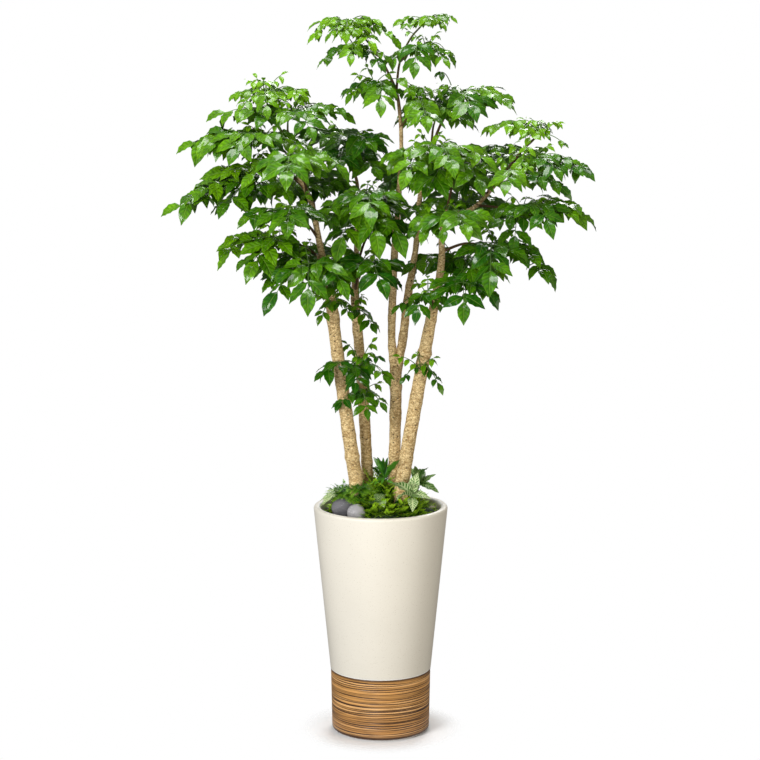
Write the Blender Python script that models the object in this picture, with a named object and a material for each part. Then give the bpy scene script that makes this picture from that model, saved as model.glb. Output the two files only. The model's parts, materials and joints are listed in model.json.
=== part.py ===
"""Potted china doll plant: a tapered floor pot with a wood-look foot, four woody canes that
carry leafy shoots of compound leaves, and a low underplanting with three pebbles.

Metres, +Z up. The origin is on the pot's axis at its underside, and the front looks along -Y.
"""
import math
import random

import bmesh
import bpy
from mathutils import Quaternion, Vector
from mathutils.bvhtree import BVHTree

UP = Vector((0.0, 0.0, 1.0))
SHARP_DEGREES = 50.0          # an edge bent more than this stays sharp
MERGE = 1e-5
GAP = 0.0003                  # between pieces that touch

# Pot: a thick tapered shell, its foot rebated for a wood-look sleeve
POT_HEIGHT = 0.550
RIM_RADIUS = 0.160
RIM_WALL = 0.0165
RIM_ROUND = 0.0045
SEAM_HEIGHT = 0.151
SEAM_RADIUS = 0.121
FOOT_RADIUS = 0.1175
FOOT_ROUND = 0.007
BAND_THICKNESS = 0.012
BAND_LIFT = 0.002             # the shell stands on its own foot, inside the sleeve
FLOOR_THICKNESS = 0.030
FLOOR_RADIUS = 0.092
ROUND_STEPS = 36

# Soil: fills the shell, flat on top, with a plain hole for each stem
SOIL_TOP = 0.530
ROOT_DEPTH = 0.018            # the depth of an underplant's root

# Leaves
BLADE_THICKNESS = 0.0008
RACHIS_THICKNESS = 0.0020
RACHIS_HALF_WIDTH = 0.0014
ROOT_HALF_LENGTH = 0.0022     # of a leaflet's root along the rachis
CLEARANCE = 0.0016            # kept round a blade while it is placed
LEAFLET_LENGTH = 0.072
LEAFLET_WIDTH = 0.50          # of its length
LEAFLET_OUTLINE = ((0.30, 0.50), (0.66, 0.36))   # places along a blade, half widths across
LEAFLET_SHARE = 0.34          # most that a leaflet takes of its frond's length
LEAFLET_DROOP = 38            # degrees under level
LEAFLET_SWEEP = 62            # degrees off the rib
LEAFLET_BEND = 0.14           # drop of the tip, of the length
LEAFLET_WAVE = 0.06           # of the length
LAST_BEND = 0.10              # the same for the leaflet at the end of a rib
LAST_WAVE = 0.05
LAST_LEAN = 0.6               # its share of the extra droop
PAIR_SPAN = {1: (0.50, 0.50), 2: (0.38, 0.62), 3: (0.30, 0.66)}   # first and last pair
RIB_END = 0.76                # where the last leaflet starts
RIB_TESTS = (0.24, 0.37, 0.50, 0.63, RIB_END)   # places at which a rib must stand clear
SMALL_SHARE = 0.02            # of an arch, to read its direction
ROOT_SKIP = 0.012             # of a leaflet, near its own rib
DROOP_SPREAD = (-10, 12)      # how leaflets differ, degrees
SWEEP_SPREAD = (-6, 6)
LENGTH_SPREAD = (0.92, 1.08)
SHRUNK = 0.8                  # a leaflet that finds no room at its full length
FAR_EDGE_WAVE = 0.4           # of the near edge's wave
LEAF_ROOT_HALF = 0.0016
STEM_HALF_WIDTH = 0.0016      # green stem that carries a shoot's fronds
STEM_THICKNESS = 0.0030
STEM_FOOT = 0.006
STEM_STEP = 0.007
STEM_AHEAD = 0.5              # how much a stem keeps to its limb's direction
STEM_RISE = 0.35              # and how much it turns up
GOLDEN_ANGLE = 2.39996
PEBBLE_FLAT = 0.86            # half height at which a pebble is flat underneath
PEBBLE_UNEVEN = 0.08
LIMB_SIDES = 4
TRUNK_SIDES = 8
TRUNK_RADIUS = 0.008          # a limb that starts thicker than this is a trunk

# Wood. A limb is named for the shoot that it carries. Its points are x, y, z and radius, from
# its root up, and its root lies on the axis of the limb that it grows from.
CANES = {
    "cane_left": {
        "left_top": (
            (-0.030, -0.030, 0.400, 0.0165), (-0.051, -0.030, 0.560, 0.0165),
            (-0.072, -0.031, 0.706, 0.0160), (-0.105, -0.036, 0.948, 0.0145),
            (-0.116, -0.038, 1.043, 0.0138), (-0.130, -0.038, 1.115, 0.0095),
            (-0.147, -0.036, 1.204, 0.0072), (-0.160, -0.034, 1.270, 0.0062),
            (-0.200, -0.032, 1.360, 0.0045), (-0.229, -0.028, 1.436, 0.0034),
            (-0.255, -0.025, 1.490, 0.0026)),
        "left_high": ((-0.216, -0.030, 1.402, 0.0026), (-0.214, -0.050, 1.455, 0.0022)),
        "left_tier": (
            (-0.200, -0.032, 1.360, 0.0030), (-0.222, -0.055, 1.395, 0.0026),
            (-0.250, -0.072, 1.415, 0.0022)),
        "left_front": (
            (-0.170, -0.034, 1.292, 0.0034), (-0.180, -0.080, 1.345, 0.0028),
            (-0.196, -0.125, 1.362, 0.0022)),
        "left_far": (
            (-0.178, -0.033, 1.310, 0.0036), (-0.216, -0.024, 1.342, 0.0030),
            (-0.260, -0.010, 1.352, 0.0024)),
        "left_inner": (
            (-0.144, -0.036, 1.188, 0.0036), (-0.165, -0.068, 1.222, 0.0030),
            (-0.192, -0.095, 1.240, 0.0022)),
        "left_mid": (
            (-0.134, -0.038, 1.136, 0.0040), (-0.172, -0.042, 1.170, 0.0032),
            (-0.212, -0.050, 1.182, 0.0024)),
        "left_low": (
            (-0.119, -0.038, 1.056, 0.0040), (-0.138, -0.095, 1.112, 0.0032),
            (-0.155, -0.135, 1.128, 0.0024)),
        "left_back": (
            (-0.152, -0.035, 1.230, 0.0036), (-0.158, 0.030, 1.272, 0.0030),
            (-0.170, 0.080, 1.290, 0.0024)),
        "left_back_low": (
            (-0.122, -0.038, 1.070, 0.0040), (-0.140, 0.020, 1.112, 0.0032),
            (-0.156, 0.062, 1.128, 0.0024)),
        "left_sprout": ((-0.114, -0.038, 1.026, 0.0030), (-0.108, -0.066, 1.036, 0.0022)),
    },
    "cane_back": {
        "back_top": (
            (-0.022, 0.022, 0.400, 0.0138), (-0.029, 0.022, 0.560, 0.0138),
            (-0.036, 0.030, 0.706, 0.0134), (-0.045, 0.040, 0.852, 0.0126),
            (-0.058, 0.060, 0.995, 0.0112), (-0.061, 0.070, 1.046, 0.0098),
            (-0.058, 0.088, 1.130, 0.0068), (-0.056, 0.104, 1.215, 0.0054),
            (-0.057, 0.118, 1.315, 0.0040), (-0.083, 0.122, 1.364, 0.0026)),
        "middle": (
            (-0.057, 0.097, 1.178, 0.0036), (-0.048, 0.040, 1.235, 0.0030),
            (-0.036, -0.020, 1.268, 0.0022)),
        "middle_low": (
            (-0.061, 0.072, 1.056, 0.0038), (-0.054, 0.010, 1.108, 0.0030),
            (-0.046, -0.045, 1.128, 0.0022)),
        "back_low": (
            (-0.059, 0.083, 1.106, 0.0038), (-0.042, 0.130, 1.160, 0.0030),
            (-0.030, 0.172, 1.180, 0.0022)),
        "trunk_sprout_high": ((-0.059, 0.062, 1.004, 0.0030), (-0.062, 0.034, 1.012, 0.0022)),
        "trunk_sprout": ((-0.046, 0.041, 0.868, 0.0034), (-0.048, 0.006, 0.884, 0.0024)),
        "trunk_sprout_low": ((-0.042, 0.037, 0.808, 0.0032), (-0.044, 0.004, 0.820, 0.0022)),
    },
    "cane_centre": {
        "top_left": (
            (0.026, 0.012, 0.400, 0.0138), (0.030, 0.012, 0.560, 0.0138),
            (0.034, 0.012, 0.706, 0.0136), (0.036, 0.012, 0.885, 0.0134),
            (0.027, 0.010, 0.948, 0.0104), (0.028, 0.008, 1.043, 0.0096),
            (0.033, 0.004, 1.161, 0.0084), (0.042, 0.000, 1.279, 0.0066),
            (0.048, 0.000, 1.394, 0.0050), (0.045, 0.000, 1.470, 0.0042),
            (0.034, 0.000, 1.535, 0.0036), (-0.004, 0.000, 1.611, 0.0028),
            (-0.052, 0.000, 1.668, 0.0022)),
        "top_left_low": ((-0.006, 0.000, 1.613, 0.0024), (-0.040, -0.022, 1.626, 0.0020)),
        "top_right": (
            (0.036, 0.000, 1.526, 0.0030), (0.044, 0.000, 1.596, 0.0026),
            (0.068, 0.002, 1.650, 0.0022), (0.094, 0.004, 1.680, 0.0020)),
        "top_right_low": ((0.046, 0.000, 1.600, 0.0022), (0.074, -0.020, 1.624, 0.0020)),
        "high_left": ((0.038, 0.000, 1.512, 0.0026), (0.014, -0.022, 1.540, 0.0020)),
        "high_right": ((0.047, 0.000, 1.448, 0.0028), (0.074, -0.030, 1.488, 0.0020)),
        "crown_right": (
            (0.036, 0.012, 0.900, 0.0110), (0.051, 0.018, 0.950, 0.0108),
            (0.066, 0.030, 1.058, 0.0092), (0.083, 0.045, 1.161, 0.0070),
            (0.094, 0.060, 1.290, 0.0052), (0.122, 0.074, 1.396, 0.0042),
            (0.140, 0.070, 1.448, 0.0030), (0.160, 0.064, 1.488, 0.0024)),
        "centre_front": (
            (0.100, 0.063, 1.312, 0.0034), (0.112, -0.010, 1.368, 0.0028),
            (0.120, -0.075, 1.384, 0.0022)),
        "crown_back": (
            (0.119, 0.073, 1.386, 0.0030), (0.124, 0.120, 1.436, 0.0026),
            (0.130, 0.160, 1.456, 0.0022)),
        "centre_back": (
            (0.091, 0.056, 1.250, 0.0036), (0.100, 0.115, 1.292, 0.0030),
            (0.110, 0.165, 1.308, 0.0024)),
    },
    "cane_right": {
        "right_top": (
            (0.020, -0.030, 0.400, 0.0165), (0.044, -0.030, 0.560, 0.0165),
            (0.066, -0.030, 0.706, 0.0160), (0.108, -0.030, 0.948, 0.0145),
            (0.127, -0.030, 1.043, 0.0106),
            (0.141, -0.030, 1.126, 0.0084), (0.143, -0.030, 1.190, 0.0072),
            (0.150, -0.030, 1.240, 0.0064), (0.188, -0.030, 1.250, 0.0056),
            (0.228, -0.030, 1.272, 0.0050), (0.291, -0.030, 1.348, 0.0038),
            (0.325, -0.030, 1.392, 0.0030), (0.360, -0.030, 1.426, 0.0022)),
        "right_far": ((0.294, -0.030, 1.352, 0.0028), (0.330, -0.058, 1.368, 0.0022)),
        "right_tier": ((0.262, -0.030, 1.313, 0.0030), (0.292, -0.095, 1.330, 0.0022)),
        "right_reach": (
            (0.222, -0.030, 1.268, 0.0034), (0.262, -0.046, 1.266, 0.0028),
            (0.300, -0.055, 1.262, 0.0022)),
        "right_mid": (
            (0.142, -0.030, 1.160, 0.0038), (0.195, -0.062, 1.182, 0.0030),
            (0.245, -0.082, 1.178, 0.0024)),
        "right_front": (
            (0.142, -0.030, 1.178, 0.0036), (0.147, -0.085, 1.226, 0.0030),
            (0.152, -0.130, 1.236, 0.0022)),
        "right_up": (
            (0.149, -0.030, 1.234, 0.0036), (0.162, -0.030, 1.296, 0.0030),
            (0.172, -0.026, 1.340, 0.0022)),
        "right_low": (
            (0.129, -0.030, 1.052, 0.0038), (0.152, -0.070, 1.088, 0.0030),
            (0.176, -0.100, 1.094, 0.0022)),
        "right_low_front": (
            (0.122, -0.030, 1.018, 0.0034), (0.118, -0.078, 1.056, 0.0028),
            (0.112, -0.108, 1.062, 0.0022)),
        "right_back": (
            (0.146, -0.030, 1.212, 0.0036), (0.164, 0.030, 1.240, 0.0030),
            (0.182, 0.082, 1.244, 0.0022)),
        "right_back_high": (
            (0.252, -0.030, 1.301, 0.0032), (0.268, 0.030, 1.344, 0.0026),
            (0.282, 0.080, 1.356, 0.0022)),
        "right_back_low": (
            (0.132, -0.030, 1.074, 0.0036), (0.152, 0.030, 1.112, 0.0030),
            (0.170, 0.072, 1.120, 0.0022)),
        "right_sprout": ((0.097, -0.030, 0.884, 0.0030), (0.094, -0.062, 0.892, 0.0022)),
    },
}

# Fronds of each shoot, from the lowest on its stem: the place of the tip, the height of the
# arch over a straight line, and the pairs of leaflets before the last one.
SHOOTS = {
    "left_top": ((-0.348, -0.050, 1.510, 0.035, 1), (-0.165, -0.075, 1.505, 0.045, 2),
                 (-0.270, 0.125, 1.510, 0.050, 1)),
    "left_high": ((-0.060, -0.085, 1.455, 0.040, 2), (-0.392, -0.105, 1.462, 0.040, 2)),
    "left_tier": ((-0.468, -0.085, 1.385, 0.050, 3), (-0.300, -0.280, 1.385, 0.050, 2)),
    "left_front": ((-0.336, -0.225, 1.325, 0.045, 2), (-0.205, -0.360, 1.320, 0.050, 2),
                   (-0.075, -0.205, 1.325, 0.040, 1)),
    "left_far": ((-0.355, -0.175, 1.250, 0.050, 2), (-0.512, -0.015, 1.232, 0.070, 3),
                 (-0.400, 0.190, 1.270, 0.050, 2)),
    "left_inner": ((-0.318, -0.205, 1.205, 0.040, 2), (-0.205, -0.345, 1.215, 0.045, 2)),
    "left_mid": ((-0.378, -0.055, 1.118, 0.050, 3), (-0.292, -0.215, 1.100, 0.050, 2)),
    "left_low": ((-0.253, -0.245, 1.032, 0.050, 2), (-0.160, -0.355, 1.050, 0.055, 2),
                 (-0.075, -0.285, 1.075, 0.050, 1)),
    "left_back": ((-0.335, 0.215, 1.235, 0.050, 2), (-0.150, 0.350, 1.255, 0.060, 2)),
    "left_back_low": ((-0.295, 0.195, 1.080, 0.050, 1), (-0.140, 0.300, 1.085, 0.050, 1)),
    "left_sprout": ((-0.142, -0.140, 0.998, 0.025, 1), (-0.068, -0.135, 1.008, 0.025, 1)),
    "back_top": ((0.012, 0.035, 1.385, 0.030, 2), (-0.110, 0.350, 1.375, 0.050, 2),
                 (-0.205, 0.215, 1.415, 0.030, 1)),
    "middle": ((-0.135, -0.135, 1.235, 0.035, 1), (-0.020, -0.270, 1.245, 0.050, 2)),
    "middle_low": ((-0.118, -0.170, 1.065, 0.035, 1), (0.010, -0.245, 1.070, 0.045, 2)),
    "back_low": ((-0.060, 0.405, 1.145, 0.060, 2), (0.090, 0.300, 1.150, 0.050, 1)),
    "trunk_sprout_high": ((-0.012, -0.075, 0.972, 0.020, 1),),
    "trunk_sprout": ((-0.152, -0.115, 0.862, 0.020, 2), (0.006, -0.100, 0.905, 0.018, 1)),
    "trunk_sprout_low": ((-0.100, -0.105, 0.785, 0.020, 1), (0.004, -0.090, 0.785, 0.022, 1)),
    "top_left": ((-0.168, -0.020, 1.635, 0.035, 2), (-0.078, -0.130, 1.640, 0.040, 1),
                 (-0.085, 0.125, 1.640, 0.040, 1), (0.006, -0.030, 1.678, 0.030, 1)),
    "top_left_low": ((-0.146, -0.050, 1.580, 0.025, 2), (-0.068, -0.160, 1.588, 0.030, 1)),
    "top_right": ((0.048, -0.045, 1.682, 0.014, 1), (0.152, 0.005, 1.682, 0.018, 1)),
    "top_right_low": ((0.075, -0.155, 1.560, 0.035, 1), (0.168, -0.045, 1.580, 0.035, 2),
                      (0.130, 0.110, 1.585, 0.035, 1)),
    "high_left": ((0.000, -0.165, 1.475, 0.035, 1), (-0.078, -0.055, 1.498, 0.030, 2),
                  (-0.040, 0.120, 1.505, 0.030, 1)),
    "high_right": ((0.105, -0.200, 1.440, 0.040, 1),),
    "crown_right": ((0.215, -0.130, 1.460, 0.045, 2), (0.318, 0.040, 1.475, 0.045, 3),
                    (0.130, 0.015, 1.565, 0.030, 1)),
    "centre_front": ((0.050, -0.240, 1.315, 0.045, 2), (0.160, -0.315, 1.345, 0.045, 2)),
    "crown_back": ((0.055, 0.310, 1.430, 0.050, 1), (0.225, 0.295, 1.430, 0.050, 1)),
    "centre_back": ((0.030, 0.355, 1.265, 0.055, 2), (0.190, 0.385, 1.260, 0.055, 2)),
    "right_top": ((0.232, -0.050, 1.425, 0.035, 2), (0.368, 0.125, 1.415, 0.035, 1),
                  (0.434, -0.035, 1.412, 0.018, 1)),
    "right_far": ((0.405, -0.180, 1.330, 0.035, 1), (0.500, -0.050, 1.338, 0.045, 3)),
    "right_tier": ((0.275, -0.275, 1.305, 0.040, 1), (0.430, -0.145, 1.285, 0.040, 2)),
    "right_reach": ((0.385, -0.215, 1.205, 0.045, 2), (0.507, -0.055, 1.205, 0.055, 3)),
    "right_mid": ((0.240, -0.315, 1.085, 0.050, 2), (0.340, -0.255, 1.085, 0.050, 2),
                  (0.420, -0.100, 1.070, 0.060, 3)),
    "right_front": ((0.092, -0.260, 1.195, 0.040, 2), (0.190, -0.350, 1.210, 0.045, 2)),
    "right_up": ((0.100, -0.190, 1.290, 0.040, 1), (0.228, -0.195, 1.300, 0.040, 2)),
    "right_low": ((0.185, -0.280, 1.020, 0.045, 2), (0.262, -0.165, 1.035, 0.040, 2)),
    "right_low_front": ((0.078, -0.225, 1.012, 0.035, 1),),
    "right_back": ((0.190, 0.345, 1.205, 0.055, 2), (0.335, 0.200, 1.205, 0.050, 2)),
    "right_back_high": ((0.262, 0.310, 1.330, 0.050, 2), (0.430, 0.200, 1.320, 0.050, 2)),
    "right_back_low": ((0.150, 0.305, 1.080, 0.050, 1), (0.290, 0.215, 1.075, 0.050, 1)),
    "right_sprout": ((0.048, -0.120, 0.858, 0.018, 1), (0.142, -0.115, 0.834, 0.024, 1)),
}
YOUNG_SHOOTS = ("left_top", "top_left", "top_right", "centre_front", "right_top")

# Underplanting: x, y of the root, number of leaves, leaf length, height of the crown of
# leaves over the soil, and the lift of the outermost and innermost leaves in degrees
ROSETTES = {
    "rosette_front": ((0.073, -0.075), 9, 0.074, 0.050, (4, 60), "variegated"),
    "rosette_right": ((0.090, 0.034), 6, 0.072, 0.060, (20, 74), "variegated"),
    "dark_plant": ((0.002, 0.060), 7, 0.060, 0.088, (12, 70), "dark_leaf"),
    "small_variegated": ((-0.010, -0.062), 3, 0.030, 0.032, (20, 40), "variegated"),
    "fern": ((-0.096, 0.020), 7, 0.098, 0.034, (14, 64), "fern"),
}
ROOT_RADIUS = 0.0042
ROOT_SIDES = 6
LEAF_OUTLINE = ((0.32, 0.50), (0.68, 0.38))
LEAF_WIDTH = 0.36
LEAF_BEND = 0.30
LEAF_SPREAD = (0.94, 1.06)    # how leaves differ in length
HEADING_SPREAD = (-8, 8)      # and in heading, degrees
LOW_LEAF = 0.72               # where the outermost leaf starts, of the crown's height
LEAF_RISE = 0.22              # how much higher the innermost one does
INNER_SHORTER = 0.25          # how much shorter it is
LEAF_WAVE = 0.02
FERN_OUTLINE = ((0.26, 0.50), (0.38, 0.17), (0.58, 0.40), (0.68, 0.12))
FERN_WIDTH = 0.40
LEAF_TRIALS = ((0, 0), (0, 9), (0, -9), (8, 0), (-8, 0), (12, 12), (-12, -12), (16, 18),
               (-16, 18), (20, -22), (28, 0), (34, 20), (34, -20))

# Moss mounds: x, y, half sizes along x and y, height
MOUNDS = {
    "moss_front": (0.012, -0.101, 0.044, 0.025, 0.034),
    "moss_right": (0.110, -0.030, 0.022, 0.031, 0.036),
    "moss_back": (0.040, 0.098, 0.044, 0.028, 0.042),
    "moss_left": (-0.055, 0.082, 0.036, 0.028, 0.040),
}
MOUND_STEPS = 10
MOUND_RINGS = ((1.0, 0.0), (1.06, 0.30), (0.80, 0.68), (0.44, 0.92))   # spread and height
TUFT_SPREAD = (0.98, 1.05)
TUFT_DIP = 0.16               # how far every other point draws in between tufts

# Pebbles: x, y, half sizes, turn in degrees
PEBBLES = {
    "pebble_dark": (-0.089, -0.046, (0.0240, 0.0170, 0.0185), 12),
    "pebble_grey": (-0.058, -0.090, (0.0195, 0.0140, 0.0125), -8),
    "pebble_beige": (0.124, 0.020, (0.0105, 0.0080, 0.0075), 40),
}

# Ways to hold a leaflet clear of its neighbours: extra droop and extra forward sweep, degrees
LEAFLET_TRIALS = ((0, 0), (12, 0), (-12, 0), (0, 12), (0, -12), (24, 0), (-24, 0), (24, 14),
                  (-24, -14), (36, 0), (-36, 0), (36, -16), (-40, 16), (50, 0), (-55, 0))
FROND_TRIALS = (0, 5, -5, 10, -10, 15, -15, 20, -20)   # swings about the upright, degrees


def principled(name, colour, roughness):
    """A Principled material with the part's plain colour."""
    material = bpy.data.materials.new(name)
    material.use_nodes = True
    shader = material.node_tree.nodes["Principled BSDF"]
    shader.inputs["Base Color"].default_value = (*colour, 1.0)
    shader.inputs["Roughness"].default_value = roughness
    shader.inputs["Metallic"].default_value = 0.0
    material.diffuse_color = (*colour, 1.0)
    return material


def make_materials():
    """Every finish of the plant and its pot."""
    return {
        "pot_cream": principled("pot_cream", (0.84, 0.79, 0.70), 0.45),
        "band_wood": principled("band_wood", (0.42, 0.22, 0.075), 0.50),
        "soil_bark": principled("soil_bark", (0.055, 0.035, 0.022), 0.95),
        "cane_bark": principled("cane_bark", (0.56, 0.38, 0.18), 0.85),
        "leaf": principled("leaf", (0.045, 0.20, 0.025), 0.35),
        "young_leaf": principled("young_leaf", (0.17, 0.42, 0.03), 0.35),
        "variegated": principled("variegated", (0.33, 0.50, 0.20), 0.45),
        "dark_leaf": principled("dark_leaf", (0.03, 0.13, 0.035), 0.40),
        "fern": principled("fern", (0.07, 0.28, 0.04), 0.55),
        "moss": principled("moss", (0.16, 0.40, 0.04), 0.80),
        "pebble_dark": principled("pebble_dark", (0.10, 0.11, 0.13), 0.55),
        "pebble_grey": principled("pebble_grey", (0.35, 0.36, 0.38), 0.60),
        "pebble_beige": principled("pebble_beige", (0.62, 0.52, 0.40), 0.60),
    }


def mesh_object(name, vertices, faces):
    """A new object in the scene from plain points and faces."""
    mesh = bpy.data.meshes.new(name)
    mesh.from_pydata([tuple(v) for v in vertices], [], faces)
    mesh.update()
    found = bpy.data.objects.new(name, mesh)
    bpy.context.scene.collection.objects.link(found)
    return found


def bmesh_object(name, mesh):
    """A new object from a bmesh, which is freed."""
    data = bpy.data.meshes.new(name)
    mesh.to_mesh(data)
    mesh.free()
    found = bpy.data.objects.new(name, data)
    bpy.context.scene.collection.objects.link(found)
    return found


def finish(found, material):
    """Give an object its material and smooth shading with sharp edges kept."""
    found.data.materials.clear()
    found.data.materials.append(material)
    found.data.shade_smooth()
    found.data.set_sharp_from_angle(angle=math.radians(SHARP_DEGREES))


def combine(base, others, operation):
    """Join others to base, or cut them from it, by one applied Boolean, and remove them."""
    if not others:
        return base
    group = bpy.data.collections.new(base.name + "_pieces")
    bpy.context.scene.collection.children.link(group)
    for piece in others:
        bpy.context.scene.collection.objects.unlink(piece)
        group.objects.link(piece)
    modifier = base.modifiers.new("combine", "BOOLEAN")
    modifier.operation = operation
    modifier.solver = "EXACT"
    modifier.operand_type = "COLLECTION"
    modifier.collection = group
    graph = bpy.context.evaluated_depsgraph_get()
    result = bpy.data.meshes.new_from_object(base.evaluated_get(graph))
    base.modifiers.clear()
    base.data = result
    for piece in others:
        bpy.data.objects.remove(piece)
    bpy.data.collections.remove(group)
    return base


def turned(name, profile, closed):
    """A body turned round the Z axis from (radius, height) points."""
    mesh = bmesh.new()
    points = [mesh.verts.new((radius, 0.0, height)) for radius, height in profile]
    edges = [mesh.edges.new(pair) for pair in zip(points, points[1:])]
    if closed:
        edges.append(mesh.edges.new((points[-1], points[0])))
    bmesh.ops.spin(mesh, geom=points + edges, cent=(0, 0, 0), axis=(0, 0, 1),
                   angle=2 * math.pi, steps=ROUND_STEPS, use_merge=True)
    bmesh.ops.remove_doubles(mesh, verts=mesh.verts, dist=MERGE)
    bmesh.ops.recalc_face_normals(mesh, faces=mesh.faces)
    return bmesh_object(name, mesh)


def between(height, low, high):
    """A radius on a straight wall from (radius, height) low to high."""
    share = (height - low[1]) / (high[1] - low[1])
    return low[0] + (high[0] - low[0]) * share


def wall_radius(height):
    """Outer radius of the cream wall."""
    return between(height, (SEAM_RADIUS, SEAM_HEIGHT), (RIM_RADIUS, POT_HEIGHT))


def inner_radius(height):
    """Radius of the shell's inner wall, straight from the floor to under the rim."""
    return between(height, (FLOOR_RADIUS, FLOOR_THICKNESS),
                   (RIM_RADIUS - RIM_WALL, POT_HEIGHT - RIM_ROUND))


def pot_shell():
    """The thick cream shell, with an eased rim and a foot that stands inside the sleeve."""
    core = SEAM_RADIUS - BAND_THICKNESS - GAP
    shoulder = POT_HEIGHT - RIM_ROUND
    profile = (
        (0.0, 0.0), (core, 0.0), (core, SEAM_HEIGHT + GAP), (SEAM_RADIUS, SEAM_HEIGHT + GAP),
        (wall_radius(shoulder), shoulder), (RIM_RADIUS - RIM_ROUND, POT_HEIGHT),
        (RIM_RADIUS - RIM_WALL + RIM_ROUND, POT_HEIGHT), (inner_radius(shoulder), shoulder),
        (FLOOR_RADIUS, FLOOR_THICKNESS), (0.0, FLOOR_THICKNESS))
    return turned("pot_shell", profile, closed=False)


def pot_band():
    """The wood-look sleeve round the foot, with an eased lower edge."""
    inner = SEAM_RADIUS - BAND_THICKNESS
    profile = (
        (inner, BAND_LIFT), (FOOT_RADIUS - FOOT_ROUND, BAND_LIFT),
        (FOOT_RADIUS, BAND_LIFT + FOOT_ROUND), (SEAM_RADIUS, SEAM_HEIGHT), (inner, SEAM_HEIGHT))
    return turned("pot_band", profile, closed=True)


def ring_frames(points):
    """Directions and turned side vectors along a line, with no twist between the points."""
    ahead = [(b - a).normalized() for a, b in zip(points, points[1:])]
    tangents = [ahead[0]]
    tangents += [(a + b).normalized() for a, b in zip(ahead, ahead[1:])]
    tangents.append(ahead[-1])
    side = tangents[0].orthogonal().normalized()
    frames = []
    for tangent in tangents:
        side = (side - side.dot(tangent) * tangent).normalized()
        frames.append((side, tangent.cross(side)))
    return frames


def tube(limb, sides, grown=0.0):
    """Points and faces of a closed tube along (x, y, z, radius) points, its flats grown."""
    points = [Vector(p[:3]) for p in limb]
    vertices = []
    for place, (side, over), (*_, radius) in zip(points, ring_frames(points), limb):
        reach = radius + grown / math.cos(math.pi / sides)
        for step in range(sides):
            angle = 2 * math.pi * step / sides
            vertices.append(place + reach * (math.cos(angle) * side + math.sin(angle) * over))
    faces = [tuple(reversed(range(sides)))]
    for ring in range(len(points) - 1):
        for step in range(sides):
            a, b = ring * sides + step, ring * sides + (step + 1) % sides
            faces.append((a, b, b + sides, a + sides))
    last = (len(points) - 1) * sides
    faces.append(tuple(range(last, last + sides)))
    return vertices, faces


class Space:
    """What already stands, so that the next blade can be held clear of it."""

    def __init__(self):
        self.pieces = []

    @staticmethod
    def box(vertices):
        """Lowest and highest corner."""
        low = [min(v[axis] for v in vertices) for axis in range(3)]
        high = [max(v[axis] for v in vertices) for axis in range(3)]
        return low, high

    def add(self, vertices, faces):
        """Let a body stand here."""
        self.pieces.append((*self.box(vertices), BVHTree.FromPolygons(vertices, faces)))

    def is_free(self, vertices, faces):
        """Whether a body would cross nothing that stands."""
        low, high = self.box(vertices)
        tree = None
        for other_low, other_high, other in self.pieces:
            if any(low[k] > other_high[k] or high[k] < other_low[k] for k in range(3)):
                continue
            tree = tree or BVHTree.FromPolygons(vertices, faces)
            if tree.overlap(other):
                return False
        return True


class Sheet:
    """A thin body that branches: middle points, their thickness, and the triangles between.

    A rib is a narrow ribbon, and a blade or another rib grows from a short edge of it."""

    def __init__(self):
        self.points = []
        self.depths = []
        self.triangles = []

    def point(self, place, depth):
        """Add a point and give its number."""
        self.points.append(place)
        self.depths.append(depth)
        return len(self.points) - 1

    def row(self, middle, side, half_width, depth):
        """A right and a left point across a rib."""
        return (self.point(middle + side * half_width, depth),
                self.point(middle - side * half_width, depth))

    def quad(self, a, b, c, d):
        """A four-sided stretch in two triangles."""
        self.triangles += [(a, b, c), (a, c, d)]

    def ribbon(self, rows):
        """Join rows of right and left points."""
        for (right, left), (next_right, next_left) in zip(rows, rows[1:]):
            self.quad(right, next_right, next_left, left)

    def blade(self, first, second, pose):
        """One blade from the edge first-second. Its edge waves, and its tip bends down."""
        normal = pose["along"].cross(pose["across"])
        length, width, wave = pose["length"], pose["width"], pose["wave"]
        for share, half in pose["outline"]:
            middle = (pose["root"] + pose["along"] * share * length
                      - normal * pose["bend"] * share * share * length)
            reach = pose["across"] * half * width
            a = self.point(middle + reach + normal * wave, BLADE_THICKNESS)
            b = self.point(middle - reach - FAR_EDGE_WAVE * normal * wave, BLADE_THICKNESS)
            self.quad(first, second, b, a)
            first, second = a, b
            wave = -wave
        tip = self.point(pose["root"] + (pose["along"] - normal * pose["bend"]) * length,
                         BLADE_THICKNESS)
        self.triangles.append((first, second, tip))

    def solid(self, extra=0.0):
        """Points and faces of the closed body, split alike on both faces."""
        normals = [Vector() for _ in self.points]
        edges = {}
        for triangle in self.triangles:
            a, b, c = (self.points[k] for k in triangle)
            normal = (b - a).cross(c - a).normalized()
            for k, start in enumerate(triangle):
                normals[start] += normal
                edge = (start, triangle[(k + 1) % 3])
                if edge[::-1] in edges:
                    del edges[edge[::-1]]
                else:
                    edges[edge] = True
        half = [n.normalized() * (0.5 * d + extra) for n, d in zip(normals, self.depths)]
        count = len(self.points)
        vertices = [p + h for p, h in zip(self.points, half)]
        vertices += [p - h for p, h in zip(self.points, half)]
        faces = list(self.triangles)
        faces += [(a + count, c + count, b + count) for a, b, c in self.triangles]
        for a, b in edges:
            faces += [(b, a, a + count), (b, a + count, b + count)]
        return vertices, faces


def lone_blade(pose, extra):
    """A blade by itself, from a little past its root, for the test of what it touches."""
    sheet = Sheet()
    root = pose["root"] + pose["along"] * ROOT_SKIP
    first, second = (sheet.point(root + pose["across"] * part, BLADE_THICKNESS)
                     for part in (RACHIS_HALF_WIDTH, -RACHIS_HALF_WIDTH))
    sheet.blade(first, second, pose)
    return sheet.solid(extra)


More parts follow.
